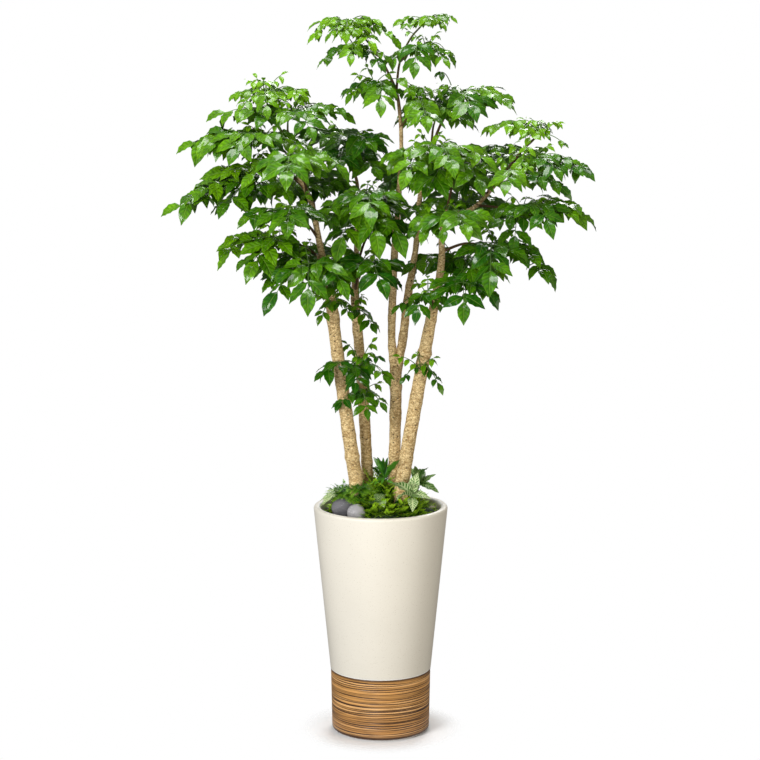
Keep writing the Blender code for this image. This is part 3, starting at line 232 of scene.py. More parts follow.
# Fronds of each shoot, as in the frame, from the lowest on its stem: the place of the tip, the
# height of the arch over a straight line, and how long and full the frond is, 1 to 3.
SHOOTS = {
    "left_top": ((-0.348, -0.050, 1.505, 0.030, 1), (-0.165, -0.075, 1.500, 0.040, 2),
                 (-0.270, 0.125, 1.505, 0.045, 1), (-0.255, -0.150, 1.470, 0.030, 1)),
    "left_high": ((-0.060, -0.085, 1.455, 0.040, 2), (-0.392, -0.105, 1.462, 0.030, 2),
                  (-0.150, -0.200, 1.420, 0.035, 2)),
    "left_tier": ((-0.468, -0.085, 1.386, 0.032, 3), (-0.335, -0.250, 1.372, 0.040, 2),
                  (-0.130, -0.150, 1.360, 0.030, 1)),
    "left_front": ((-0.306, -0.235, 1.316, 0.038, 2), (-0.205, -0.360, 1.320, 0.050, 2),
                   (-0.075, -0.205, 1.325, 0.040, 1)),
    "left_far": ((-0.365, -0.165, 1.246, 0.016, 2), (-0.512, -0.015, 1.236, 0.008, 3),
                 (-0.385, 0.190, 1.235, 0.010, 2)),
    "left_inner": ((-0.318, -0.205, 1.226, 0.032, 2), (-0.205, -0.345, 1.215, 0.045, 2)),
    "left_mid": ((-0.378, -0.055, 1.118, 0.050, 3), (-0.296, -0.210, 1.100, 0.050, 2)),
    "left_low": ((-0.253, -0.245, 1.032, 0.050, 2), (-0.160, -0.355, 1.050, 0.055, 2),
                 (-0.075, -0.285, 1.075, 0.050, 1)),
    "left_back": ((-0.335, 0.215, 1.235, 0.050, 2), (-0.150, 0.350, 1.255, 0.060, 2)),
    "left_back_low": ((-0.285, 0.195, 1.070, 0.020, 1), (-0.140, 0.300, 1.080, 0.040, 1)),
    "left_sprout": ((-0.142, -0.140, 0.998, 0.025, 1), (-0.068, -0.135, 1.008, 0.025, 1)),
    "back_top": ((0.012, 0.035, 1.385, 0.030, 2), (-0.016, -0.085, 1.392, 0.030, 2),
                 (-0.095, -0.095, 1.345, 0.030, 2),
                 (0.000, -0.060, 1.325, 0.028, 1), (-0.110, 0.350, 1.375, 0.050, 2),
                 (-0.205, 0.215, 1.415, 0.030, 1)),
    "middle": ((-0.100, -0.200, 1.150, 0.045, 2), (0.050, -0.190, 1.160, 0.040, 2),
               (-0.005, -0.225, 1.160, 0.040, 2),
               (-0.135, -0.135, 1.235, 0.035, 1), (-0.020, -0.270, 1.235, 0.050, 2)),
    "middle_low": ((-0.118, -0.170, 1.065, 0.035, 1), (0.010, -0.245, 1.070, 0.045, 2)),
    "back_low": ((-0.060, 0.405, 1.145, 0.060, 2), (0.090, 0.300, 1.150, 0.050, 1)),
    "trunk_sprout_high": ((-0.012, -0.075, 0.972, 0.020, 1),),
    "trunk_sprout": ((-0.060, -0.130, 0.838, 0.020, 1), (0.020, -0.095, 0.850, 0.026, 1),
                     (-0.152, -0.110, 0.866, 0.024, 2), (0.008, -0.080, 0.905, 0.018, 1)),
    "trunk_sprout_low": ((-0.104, -0.090, 0.788, 0.022, 1), (-0.030, -0.120, 0.775, 0.020, 1),
                         (0.010, -0.080, 0.785, 0.024, 1)),
    "top_left": ((0.045, -0.040, 1.622, 0.034, 1), (-0.168, -0.020, 1.635, 0.030, 2),
                 (-0.078, -0.130, 1.636, 0.034, 2), (-0.085, 0.125, 1.640, 0.034, 1),
                 (-0.125, -0.080, 1.640, 0.022, 1), (-0.015, -0.115, 1.612, 0.028, 1),
                 (0.006, -0.030, 1.672, 0.022, 1)),
    "top_left_low": ((-0.146, -0.050, 1.580, 0.025, 2), (-0.068, -0.160, 1.588, 0.030, 1),
                     (0.022, -0.075, 1.585, 0.026, 1), (0.006, -0.115, 1.570, 0.022, 1)),
    "top_right": ((0.048, -0.045, 1.672, 0.010, 1), (0.150, 0.005, 1.666, 0.014, 1)),
    "top_right_low": ((0.075, -0.155, 1.560, 0.035, 1), (0.168, -0.045, 1.580, 0.035, 2),
                      (0.130, 0.110, 1.585, 0.035, 1)),
    "high_left": ((0.000, -0.165, 1.475, 0.035, 1), (-0.078, -0.055, 1.498, 0.030, 2),
                  (-0.040, 0.120, 1.505, 0.030, 1)),
    "high_right": ((0.105, -0.200, 1.440, 0.040, 1), (0.152, -0.050, 1.500, 0.030, 1),
                   (0.085, -0.130, 1.520, 0.030, 2)),
    "crown_right": ((0.215, -0.130, 1.460, 0.045, 2), (0.318, 0.040, 1.475, 0.045, 3),
                    (0.130, 0.015, 1.565, 0.030, 1)),
    "centre_front": ((0.050, -0.240, 1.315, 0.045, 2), (0.160, -0.315, 1.345, 0.045, 2)),
    "crown_back": ((0.055, 0.310, 1.430, 0.050, 1), (0.225, 0.295, 1.430, 0.050, 1)),
    "centre_back": ((0.030, 0.355, 1.265, 0.055, 2), (0.190, 0.385, 1.260, 0.055, 2)),
    "right_top": ((0.232, -0.050, 1.425, 0.035, 2), (0.368, 0.125, 1.415, 0.035, 1),
                  (0.434, -0.035, 1.400, 0.010, 1)),
    "right_far": ((0.405, -0.180, 1.330, 0.030, 1), (0.488, -0.050, 1.334, 0.022, 3)),
    "right_tier": ((0.275, -0.275, 1.305, 0.040, 1), (0.430, -0.145, 1.285, 0.040, 2)),
    "right_reach": ((0.385, -0.215, 1.205, 0.045, 2), (0.500, -0.055, 1.205, 0.045, 3),
                    (0.300, -0.190, 1.168, 0.030, 2)),
    "right_mid": ((0.240, -0.315, 1.085, 0.050, 2), (0.340, -0.255, 1.085, 0.050, 2),
                  (0.400, -0.105, 1.066, 0.050, 3)),
    "right_front": ((0.092, -0.260, 1.195, 0.040, 2), (0.190, -0.350, 1.210, 0.045, 2),
                    (0.138, -0.280, 1.200, 0.036, 1), (0.052, -0.150, 1.172, 0.030, 2)),
    "right_up": ((0.100, -0.190, 1.290, 0.040, 1), (0.228, -0.195, 1.300, 0.040, 2)),
    "right_low": ((0.185, -0.280, 1.020, 0.045, 2), (0.262, -0.165, 1.035, 0.040, 2)),
    "right_low_front": ((0.078, -0.225, 1.012, 0.035, 1),),
    "right_back": ((0.190, 0.345, 1.205, 0.055, 2), (0.335, 0.200, 1.205, 0.050, 2)),
    "right_back_high": ((0.262, 0.310, 1.330, 0.050, 2), (0.430, 0.200, 1.320, 0.050, 2)),
    "right_back_low": ((0.150, 0.305, 1.070, 0.030, 1), (0.290, 0.215, 1.070, 0.030, 1)),
    "right_sprout": ((0.048, -0.120, 0.858, 0.018, 1), (0.142, -0.115, 0.834, 0.024, 1)),
}
YOUNG_SHOOTS = ("left_top", "top_left", "top_right", "centre_front", "right_top")

# A frond's rib: the first and last stations of its leaflets as shares of the arch, how far apart
# they stand, and the pairs of leaflets on each side rib, which give way to plain pairs. All are
# by the frond's size; size 0 is a young frond in a tuft.
FIRST_STATION = 0.20
LAST_STATION = 0.70
LAST_LEAFLET = 0.78
STATION_STEP = {0: 0.022, 1: 0.026, 2: 0.036, 3: 0.036}
RIB_PAIRS = {0: (), 1: (), 2: (1, 1), 3: (2, 2, 1)}
SIDE_RIB_LENGTHS = {1: 0.036, 2: 0.060}
SIDE_RIB_DROOP = 12           # degrees
LEAFLET_SHARE = 0.36          # most that a leaflet takes of its frond's length
LEAFLET_LEAST = 0.026
LEAFLET_DROOP = 40            # of the chord, degrees under level
LEAFLET_SWEEP = 56            # degrees off the rib
LEAFLET_LEAN = 30             # degrees that a leaflet's face rolls to the nearer of front and back
LEAFLET_SKIP = 0.10           # of a leaflet, near its own rib, where it may touch
TRIALS = ((0, 0), (12, 0), (-12, 0), (0, 14), (0, -14), (24, 8), (-22, -8), (34, 0), (-30, 0),
          (30, -22), (-24, 22), (44, 0), (-36, 10), (8, 32), (8, -32))
# Shares of a main frond's arch and rises of its tip, to be tried until its rib is clear
ARCH_TRIALS = ((1.0, 0.0), (1.4, 0.0), (0.6, 0.0), (1.2, 0.015), (0.8, -0.015), (1.8, 0.0))
FILL_GAP = 62                 # degrees between the headings of fronds round a stem
FILL_REACH = (0.085, 0.165)
TUFT_REACH = (0.045, 0.075)
TUFT_TOP = 1.686              # no tuft reaches higher

# Leaflet forms: rise of the edges, curl from root to tip in degrees, wave of the edge, and turn
# of the tip in degrees
LEAFLET_FORMS = (
    (0.26, 40, 0.022, 12), (0.16, 28, 0.018, -16), (0.34, 48, 0.024, 20),
    (0.22, 58, 0.020, -8), (0.12, 36, 0.026, -24), (0.30, 44, 0.016, 6), (0.20, 20, 0.022, 14),
)
LEAFLET_OUTLINE = (0.05, 0.44, 0.80, 0.98, 1.00, 0.88, 0.63, 0.28, 0.02)
LEAF_OUTLINE = (0.16, 0.50, 0.84, 1.00, 0.94, 0.76, 0.52, 0.26, 0.04)
SCALLOP = 0.022               # in and out of the edge, of the half width
LANCE_OUTLINE = (0.10, 0.30, 0.62, 0.88, 1.00, 0.92, 0.70, 0.38, 0.03)
LEAFLET_WIDTH = 0.47
LEAF_COLUMNS = 4
LEAF_SKIN = 0.010             # thickness at the middle, of the length


FLOOR_REACH = (0.118, 0.21)   # where the floor starts to fade into the white, and where it ends


def stage_sizes():
    """The camera's place and lens, for a picture 760 pixels wide."""
    return {"eye": (-0.0016, -5.0, 1.63), "pitch": 8.84, "lens": 36.0 * 2136 / 760}


class PotSettings(bpy.types.PropertyGroup):
    """Sizes and colours of the pot."""

    grooves: IntProperty(
        name="Grooves", description="Grooves round the wood foot", default=29, min=5, max=60)
    groove_depth: FloatProperty(
        name="Groove depth", description="Deepest cut into the wood foot", default=0.0013,
        min=0.0, max=0.003, unit="LENGTH")
    wall: FloatVectorProperty(
        name="Wall", description="Main colour of the pot's wall", subtype="COLOR",
        default=(0.86, 0.812, 0.705), min=0.0, max=1.0)
    speckle: FloatVectorProperty(
        name="Speckle", description="Colour of the fine specks in the wall", subtype="COLOR",
        default=(0.42, 0.34, 0.22), min=0.0, max=1.0)
    wood: FloatVectorProperty(
        name="Wood", description="Colour of the foot between its grooves", subtype="COLOR",
        default=(0.62, 0.310, 0.089), min=0.0, max=1.0)
    groove: FloatVectorProperty(
        name="Groove", description="Colour in the grooves of the foot", subtype="COLOR",
        default=(0.040, 0.016, 0.008), min=0.0, max=1.0)


class CaneSettings(bpy.types.PropertyGroup):
    """Sizes and colours of the canes and twigs."""

    relief: FloatProperty(
        name="Relief", description="Unevenness of the canes", default=0.0012,
        min=0.0, max=0.004, unit="LENGTH")
    bark: FloatVectorProperty(
        name="Bark", description="Main colour of the thick canes", subtype="COLOR",
        default=(0.80, 0.575, 0.265), min=0.0, max=1.0)
    speck: FloatVectorProperty(
        name="Speck", description="Colour of the pores in the bark", subtype="COLOR",
        default=(0.050, 0.028, 0.014), min=0.0, max=1.0)
    twig: FloatVectorProperty(
        name="Twig", description="Colour of the thin twigs", subtype="COLOR",
        default=(0.085, 0.048, 0.020), min=0.0, max=1.0)


class LeafSettings(bpy.types.PropertyGroup):
    """Sizes and colours of the compound leaves."""

    length: FloatProperty(
        name="Leaflet length", description="Length of a full-grown leaflet", default=0.068,
        min=0.02, max=0.10, unit="LENGTH")
    old: FloatVectorProperty(
        name="Old leaf", description="Colour of an old leaflet", subtype="COLOR",
        default=(0.011, 0.088, 0.0005), min=0.0, max=1.0)
    new: FloatVectorProperty(
        name="New leaf", description="Colour of a young leaflet", subtype="COLOR",
        default=(0.165, 0.385, 0.002), min=0.0, max=1.0)
    vein: FloatVectorProperty(
        name="Vein", description="Colour of the veins and ribs", subtype="COLOR",
        default=(0.240, 0.430, 0.050), min=0.0, max=1.0)


class GroundSettings(bpy.types.PropertyGroup):
    """Sizes and colours of the soil and the low plants."""

    chips: IntProperty(
        name="Bark chips", description="Chips that lie on the soil", default=420, min=0, max=2000)
    sprigs: IntProperty(
        name="Sprigs", description="Places where sprigs grow", default=460, min=10, max=900)
    soil: FloatVectorProperty(
        name="Soil", description="Main colour of the soil", subtype="COLOR",
        default=(0.040, 0.022, 0.013), min=0.0, max=1.0)
    moss: FloatVectorProperty(
        name="Moss", description="Colour of the ground cover", subtype="COLOR",
        default=(0.500, 0.820, 0.035), min=0.0, max=1.0)
    cream: FloatVectorProperty(
        name="Cream", description="Pale colour of the variegated leaves", subtype="COLOR",
        default=(0.700, 0.800, 0.420), min=0.0, max=1.0)


class StageSettings(bpy.types.PropertyGroup):
    """The floor, the lights and the surroundings."""

    key: FloatProperty(name="Key light", description="Power of the main light", default=198.0,
                       min=0.0, unit="POWER")
    front: FloatProperty(name="Front light", description="Power of the light by the camera",
                         default=84.0, min=0.0, unit="POWER")
    top: FloatProperty(name="Top light", description="Power of the light overhead",
                       default=80.0, min=0.0, unit="POWER")
    back: FloatProperty(name="Back light", description="Power of the light from behind",
                        default=100.0, min=0.0, unit="POWER")
    fill: FloatProperty(name="Fill light", description="Power of the side light", default=56.0,
                        min=0.0, unit="POWER")
    sky: FloatProperty(name="Surroundings", description="Brightness all round", default=0.17,
                       min=0.0, max=4.0)


SETTINGS = {"plant_pot": PotSettings, "plant_canes": CaneSettings, "plant_leaves": LeafSettings,
            "plant_ground": GroundSettings, "plant_stage": StageSettings}


class Number:
    """A value socket that does sums: each sign adds a Math node."""

    def __init__(self, paint, socket):
        self.paint, self.socket = paint, socket

    def sum(self, operation, first, second=None, third=None):
        """A Math node on one to three numbers or sockets."""
        values = [v for v in (first, second, third) if v is not None]
        node = self.paint.node("ShaderNodeMath", {"operation": operation},
                               dict(enumerate(values)))
        return Number(self.paint, node.outputs[0])

    def __add__(self, other):
        return self.sum("ADD", self, other)

    def __sub__(self, other):
        return self.sum("SUBTRACT", self, other)

    def __mul__(self, other):
        return self.sum("MULTIPLY", self, other)

    def __truediv__(self, other):
        return self.sum("DIVIDE", self, other)

    def __pow__(self, other):
        return self.sum("POWER", self, other)

    def __rsub__(self, other):
        return self.sum("SUBTRACT", other, self)

    def __rtruediv__(self, other):
        return self.sum("DIVIDE", other, self)

    def __abs__(self):
        return self.sum("ABSOLUTE", self)

    __radd__ = __add__
    __rmul__ = __mul__

    def most(self, other):
        """The greater of two."""
        return self.sum("MAXIMUM", self, other)

    def least(self, other):
        """The smaller of two."""
        return self.sum("MINIMUM", self, other)

    def fold(self, size):
        """Up and down between 0 and size."""
        return self.sum("PINGPONG", self, size)

    def fraction(self):
        """What is left over a whole number."""
        return self.sum("FRACT", self)

    def over(self, limit):
        """1 where it is greater than a limit, else 0."""
        return self.sum("GREATER_THAN", self, limit)

    def step(self, low, high, out_low=0.0, out_high=1.0):
        """A smooth step from low to high."""
        node = self.paint.node("ShaderNodeMapRange", {"interpolation_type": "SMOOTHSTEP"}, {
            "Value": self, "From Min": low, "From Max": high, "To Min": out_low,
            "To Max": out_high})
        return Number(self.paint, node.outputs["Result"])


class Paint:
    """A material in the making, on a Principled shader."""

    def __init__(self, name, roughness=0.5, **constants):
        self.material = bpy.data.materials.new(name)
        self.material.use_nodes = True
        self.tree = self.material.node_tree
        self.shader = self.tree.nodes["Principled BSDF"]
        self.set("Roughness", roughness)
        for name, value in constants.items():
            self.set(name.replace("_", " ").title().replace("Ior", "IOR"), value)

    def join(self, value, socket):
        """Put a number, a colour, a Number or a socket in a socket."""
        value = value.socket if isinstance(value, Number) else value
        if isinstance(value, bpy.types.NodeSocket):
            self.tree.links.new(value, socket)
        elif hasattr(value, "__len__") and len(value) == 3 and socket.type == "RGBA":
            socket.default_value = (*value, 1.0)
        else:
            socket.default_value = value

    def node(self, kind, settings, values):
        """A node with its settings made first, then its sockets filled by name or number."""
        node = self.tree.nodes.new(kind)
        for name, setting in settings.items():
            setattr(node, name, setting)
        for key, value in values.items():
            found = node.inputs[key] if isinstance(key, int) else next(
                s for s in node.inputs if key in (s.identifier, s.name))
            self.join(value, found)
        return node

    def set(self, name, value):
        """Fill a socket of the Principled shader."""
        self.join(value, self.shader.inputs[name])

    def place(self, scale=(1.0, 1.0, 1.0), offset=(0.0, 0.0, 0.0)):
        """Object coordinates, scaled and moved."""
        where = self.node("ShaderNodeTexCoord", {}, {})
        return self.node("ShaderNodeMapping", {}, {
            "Vector": where.outputs["Object"], "Scale": scale,
            "Location": offset}).outputs["Vector"]

    def axes(self, vector):
        """The three parts of a vector."""
        node = self.node("ShaderNodeSeparateXYZ", {}, {"Vector": vector})
        return [Number(self, socket) for socket in node.outputs]

    def uv(self):
        """Across and along, from the piece's own UV map."""
        node = self.node("ShaderNodeUVMap", {"uv_map": "UVMap"}, {})
        return self.axes(node.outputs["UV"])[:2]

    def attribute(self, name):
        """A number stored on the piece's points."""
        node = self.node("ShaderNodeAttribute", {"attribute_name": name}, {})
        return Number(self, node.outputs["Fac"])

    def noise(self, vector, scale, detail=2.0, rough=0.5):
        """Soft noise, 0 to 1."""
        node = self.node("ShaderNodeTexNoise", {}, {
            "Vector": vector, "Scale": scale, "Detail": detail, "Roughness": rough})
        return Number(self, node.outputs[0])

    def cells(self, vector, scale):
        """Distance to the nearest of scattered points, and a random number for each."""
        node = self.node("ShaderNodeTexVoronoi", {}, {"Vector": vector, "Scale": scale})
        return Number(self, node.outputs["Distance"]), self.axes(node.outputs["Color"])[0]

    def cracks(self, vector, scale):
        """Distance to the nearest border between cells."""
        node = self.node("ShaderNodeTexVoronoi", {"feature": "DISTANCE_TO_EDGE"}, {
            "Vector": vector, "Scale": scale})
        return Number(self, node.outputs["Distance"])

    def mix(self, share, first, second, way="MIX"):
        """A colour between two, or the second laid on the first in another way."""
        node = self.node("ShaderNodeMix", {"data_type": "RGBA", "blend_type": way}, {
            "Factor_Float": share, "A_Color": first, "B_Color": second})
        return next(s for s in node.outputs if s.identifier == "Result_Color")

    def shade(self, colour, amount):
        """A colour times a number."""
        grey = self.node("ShaderNodeCombineXYZ", {}, {0: amount, 1: amount, 2: amount})
        node = self.node("ShaderNodeVectorMath", {"operation": "MULTIPLY"}, {
            0: colour, 1: grey.outputs[0]})
        return node.outputs[0]

    def bump(self, height, distance, strength=1.0):
        """Relief on the surface."""
        node = self.node("ShaderNodeBump", {}, {
            "Height": height, "Distance": distance, "Strength": strength})
        self.set("Normal", node.outputs["Normal"])


def wall_paint(pot):
    """Cream stoneware, fine tan specks, and painted highlight lines at the seam and inner rim."""
    paint = Paint("pot_wall", coat_weight=0.18, coat_roughness=0.35)
    place = paint.place()
    cloud = paint.noise(place, 9.0, 4.0)
    grain = paint.noise(place, 900.0, 2.0)
    near, chance = paint.cells(place, 260.0)
    speck = (1.0 - near.step(0.10, 0.24)) * chance.over(0.72)
    fine_near, fine_chance = paint.cells(place, 620.0)
    fine = (1.0 - fine_near.step(0.12, 0.34)) * fine_chance.over(0.60)
    x, y, height = paint.axes(place)
    radius = (x * x + y * y) ** 0.5
    # Painted highlight: a pale line along the rim's inner edge, and one just above the seam with
    # the foot.
    inner = abs(radius - (RIM_RADIUS - RIM_WALL + 0.0030)).step(0.0008, 0.0026, 1.0, 0.0)
    seam_highlight = (1.0 - height.step(SEAM_HEIGHT + 0.0022, SEAM_HEIGHT + 0.0034))
    colour = paint.shade(tuple(pot.wall), 0.955 + 0.07 * cloud + 0.03 * grain)
    colour = paint.mix(fine * 0.28, colour, tuple(pot.speckle))
    colour = paint.mix(speck * (0.30 + 0.4 * grain), colour, tuple(pot.speckle))
    # Both painted highlights are near white, laid over the cream.
    colour = paint.mix(seam_highlight * 0.8, colour, (0.95, 0.95, 0.93))
    colour = paint.mix(inner * height.over(POT_HEIGHT - 0.004) * 0.8, colour, (0.96, 0.95, 0.92))
    paint.set("Base Color", colour)
    paint.set("Roughness", 0.40 + 0.10 * cloud + 0.08 * grain)
    paint.bump(grain * 0.5 + cloud * 0.6 - speck * 0.5, 0.0005, 0.35)
    return paint.material


def foot_paint(pot):
    """Warm wood between dark grooves, with its fibres running round."""
    paint = Paint("pot_foot", specular_ior_level=0.3, coat_weight=0.35, coat_roughness=0.34)
    place = paint.place()
    depth, ridge = paint.attribute("groove"), paint.attribute("ridge")
    x, y, height = paint.axes(place)
    turn = x.sum("ARCTAN2", y, x)
    ring = paint.node("ShaderNodeCombineXYZ", {}, {0: turn * 2.6, 1: height * 700.0, 2: 0.0})
    fibre = paint.noise(ring.outputs[0], 1.0, 3.0, 0.6)
    patch = paint.noise(place, 16.0, 2.0)
    low = 1.0 - height.step(0.0, 0.13)
    colour = paint.mix(low * 0.45, tuple(pot.wood), (0.46, 0.205, 0.058))
    # Paler wood on the fibres of the lighter bands: partly grain tone, partly a painted highlight.
    colour = paint.mix(ridge.step(0.45, 1.0) * fibre * 0.65, colour, (0.840, 0.550, 0.270))
    colour = paint.shade(colour, (0.38 + 0.50 * ridge + 0.60 * fibre + 0.30 * patch) *
                         (1.0 - 0.17 * low))
    streak = depth.step(0.05, 0.38).most((1.0 - fibre).step(0.54, 0.70) * 0.50)
    colour = paint.mix(streak * 0.96, colour, tuple(pot.groove))
    # Painted shade: dark lines along the rounded bottom edge and just under the seam with the cream
    # wall.
    edge = (1.0 - height.step(0.007, 0.015)).most(
        height.step(SEAM_HEIGHT - 0.0055, SEAM_HEIGHT - 0.0025) * 0.90)
    colour = paint.mix(edge * 0.96, colour, (0.040, 0.014, 0.004))
    paint.set("Base Color", colour)
    paint.set("Roughness", 0.34 + 0.25 * fibre)
    paint.bump(fibre * 0.8, 0.0008, 0.5)
    return paint.material


def bark_paint(cane):
    """Tan bark, mottled and pored, that turns brown and then green on the thin twigs."""
    paint = Paint("cane_bark", specular_ior_level=0.25)
    place = paint.place()
    flat = paint.place(scale=(1.0, 1.0, 1.7))
    slim = paint.attribute("slim")
    broad = paint.noise(place, 22.0, 3.0, 0.55)
    mottle = paint.noise(flat, 120.0, 4.0, 0.62)
    flake = paint.noise(flat, 330.0, 3.0, 0.6)
    crack = 1.0 - paint.cracks(flat, 120.0).step(0.0, 0.15)
    near, chance = paint.cells(flat, 95.0)
    pore = (1.0 - near.step(0.14, 0.29)) * chance.over(0.70)
    small_near, small_chance = paint.cells(flat, 230.0)
    small = (1.0 - small_near.step(0.16, 0.34)) * small_chance.over(0.76)
    blend = (mottle * 0.65 + flake * 0.35).step(0.38, 0.62)
    colour = paint.mix(blend, (0.350, 0.205, 0.065), (0.970, 0.780, 0.430))
    colour = paint.mix(0.30, colour, tuple(cane.bark))
    colour = paint.shade(colour, 0.66 + 0.80 * broad)
    colour = paint.mix(crack * (1.0 - blend * 0.6) * 0.75, colour, (0.260, 0.140, 0.050))
    colour = paint.mix(slim.step(0.25, 0.75), colour,
                       paint.shade(tuple(cane.twig), 0.55 + 1.1 * mottle))
    colour = paint.mix(slim.step(0.88, 1.0) * 0.50, colour, (0.110, 0.150, 0.025))
    dark = pore.most(small * 0.8) * (1.0 - slim * 0.8)
    colour = paint.mix(dark * 0.94, colour, tuple(cane.speck))
    paint.set("Base Color", colour)
    paint.set("Roughness", 0.72 + 0.2 * flake)
    paint.bump(broad * 1.5 + mottle * 1.6 + flake * 0.7 - crack * 0.5 - dark * 1.2, 0.0018, 0.7)
    return paint.material


def leaf_paint(leaf, name, youth):
    """Glossy leaflets: quilted between sunken veins, with a painted highlight on the lobes, paler
    at young tips.
    """
    paint = Paint(name, specular_ior_level=0.10, coat_weight=0.50, coat_roughness=0.15)
    across, along = paint.uv()
    under = across.over(1.0)
    out = abs(across.fraction() - 0.5) * 2.0
    tone = paint.attribute("tone")
    place = paint.place()
    blotch = paint.noise(place, 55.0, 2.0)
    quilt = (along * 6.0 - out * 1.1).fold(0.5) * 2.0
    rib = 1.0 - out.step(0.02, 0.09)
    swell = quilt.step(0.0, 0.80) * out.step(0.03, 0.30) * (1.0 - out.step(0.80, 1.0) * 0.6)
    age = (tone * 0.90 + blotch * 0.40 + youth - 0.30).step(0.0, 1.0)
    colour = paint.mix(age, tuple(leaf.old), tuple(leaf.new))
    # Painted highlight and shade: lighter on the quilted lobes, darker in the sunken veins beside
    # them; the blotch is a random tone.
    colour = paint.shade(colour, (0.80 + 0.36 * swell) * (0.56 + 0.92 * blotch))
    rim = (out * 0.60 + along * 0.60).step(0.70, 1.15) * (0.20 + age * 0.80)
    colour = paint.mix(rim * 0.40, colour, (0.270, 0.480, 0.012))
    colour = paint.mix(rib * 0.40, colour, tuple(leaf.vein))
    colour = paint.mix(under * 0.50, colour, (0.115, 0.260, 0.030))
    paint.set("Base Color", colour)
    paint.set("Roughness", 0.36 + 0.14 * blotch + 0.20 * under)
    paint.bump(swell * (1.0 - 0.6 * under) - rib * 0.6, 0.0016, 0.6)
    return paint.material


def stem_paint(leaf):
    """Green leaf stems and ribs."""
    paint = Paint("leaf_stem", roughness=0.5)
    streak = paint.noise(paint.place(scale=(1.0, 1.0, 0.4)), 300.0, 2.0)
    colour = paint.mix(streak.step(0.35, 0.7), (0.060, 0.130, 0.018), (0.110, 0.230, 0.035))
    paint.set("Base Color", colour)
    paint.bump(streak, 0.0003, 0.4)
    return paint.material


def sprig_paint(name, dark, light):
    """Tiny feathery leaves: each sprig in its own tone, lighter to its tip."""
    paint = Paint(name, roughness=0.5, specular_ior_level=0.2)
    blotch = paint.noise(paint.place(), 90.0, 2.0)
    age = paint.attribute("tone") * 0.85 + paint.attribute("young") * 0.75 + blotch * 0.5 - 0.66
    paint.set("Base Color", paint.mix(age.step(0.0, 1.0), dark, light))
    return paint.material


def variegated_paint(name, pale, green):
    """Cream leaves with green feathered between the veins and along the edge."""
    paint = Paint(name)
    across, along = paint.uv()
    out = abs(across.fraction() - 0.5) * 2.0
    place = paint.place()
    fray = paint.noise(place, 260.0, 3.0)
    slant = along * 8.0 - out * 1.6 + (fray - 0.5) * 0.5
    feather = slant.fold(0.5) * 2.0
    band = feather.step(0.30, 0.60) * out.step(0.08, 0.22) * (1.0 - out.step(0.76, 0.92))
    edge = out.step(0.78, 0.96) * (0.35 + fray * 0.5)
    leafy = band.most(edge).most(paint.attribute("tone").step(0.35, 1.0) * 0.75)
    colour = paint.mix(leafy, pale, green)
    colour = paint.shade(colour, 0.80 + 0.35 * fray)
    paint.set("Base Color", colour)
    paint.set("Roughness", 0.42 + 0.12 * fray)
    paint.bump(feather.step(0.0, 0.9) * out.step(0.0, 0.2), 0.0008, 0.6)
    return paint.material


def plain_leaf_paint(name, dark, light, roughness):
    """Low leaves of one green, lighter where they are young, with a fine rib."""
    paint = Paint(name)
    across, along = paint.uv()
    out = abs(across.fraction() - 0.5) * 2.0
    tone = paint.attribute("tone")
    blotch = paint.noise(paint.place(), 180.0, 3.0)
    colour = paint.mix((tone * 0.8 + blotch * 0.4).step(0.1, 1.0), dark, light)
    colour = paint.mix((1.0 - out.step(0.04, 0.16)) * 0.35, colour, light)
    colour = paint.shade(colour, 0.75 + 0.35 * along)
    paint.set("Base Color", colour)
    paint.set("Roughness", roughness + 0.12 * blotch)
    paint.bump(blotch + out.step(0.0, 0.3), 0.0008, 0.5)
    return paint.material


def soil_paint(ground, name, lift):
    """Dark potting bark, each scrap a little browner or greyer than the next."""
    paint = Paint(name)
    place = paint.place()
    near, chance = paint.cells(place, 150.0)
    grain = paint.noise(place, 420.0, 4.0, 0.65)
    colour = paint.shade(tuple(ground.soil), lift * (0.45 + 1.0 * chance + 0.6 * grain))
    colour = paint.mix(chance.over(0.80) * 0.45, colour, (0.135, 0.070, 0.036))
    paint.set("Base Color", colour)
    paint.set("Roughness", 0.80 + 0.15 * grain)
    paint.bump(near * 1.4 + grain, 0.004, 0.8)
    return paint.material


def pebble_paint(name, colour, speck):
    """A smooth stone with fine grain and soft bands."""
    paint = Paint(name)
    grain = paint.noise(paint.place(), 900.0, 3.0, 0.6)
    cloud = paint.noise(paint.place(scale=(1.0, 1.0, 2.5)), 70.0, 4.0, 0.6)
    tint = paint.shade(colour, 0.62 + 0.45 * cloud + 0.30 * grain)
    tint = paint.mix(cloud.step(0.54, 0.62) * grain.step(0.40, 0.62) * 0.5, tint, speck)
    paint.set("Base Color", tint)
    paint.set("Roughness", 0.55 + 0.2 * grain)
    paint.bump(grain + cloud * 2.0, 0.0006, 0.5)
    return paint.material


def take(piece):
    """Select one piece alone and make it the active one."""
    bpy.ops.object.select_all(action="DESELECT")
    piece.select_set(True)
    bpy.context.view_layer.objects.active = piece


@contextmanager
def editing(piece):
    """Edit mode on one piece."""
    take(piece)
    bpy.ops.object.mode_set(mode="EDIT")
    yield
    bpy.ops.object.mode_set(mode="OBJECT")


def pick(test):
    """In edit mode, select the points whose place passes a test, with what they span."""
    bpy.ops.mesh.select_mode(type="VERT")
    bpy.ops.mesh.select_all(action="DESELECT")
    data = bpy.context.object.data
    mesh = bmesh.from_edit_mesh(data)
    for vertex in mesh.verts:
        vertex.select_set(test(vertex.co))
    mesh.select_flush(True)
    bmesh.update_edit_mesh(data)


def settle(piece):
    """Bring a piece's place into its mesh, so that its object sits at the origin."""
    take(piece)
    bpy.ops.object.transform_apply(location=True, rotation=True, scale=True)
    return piece


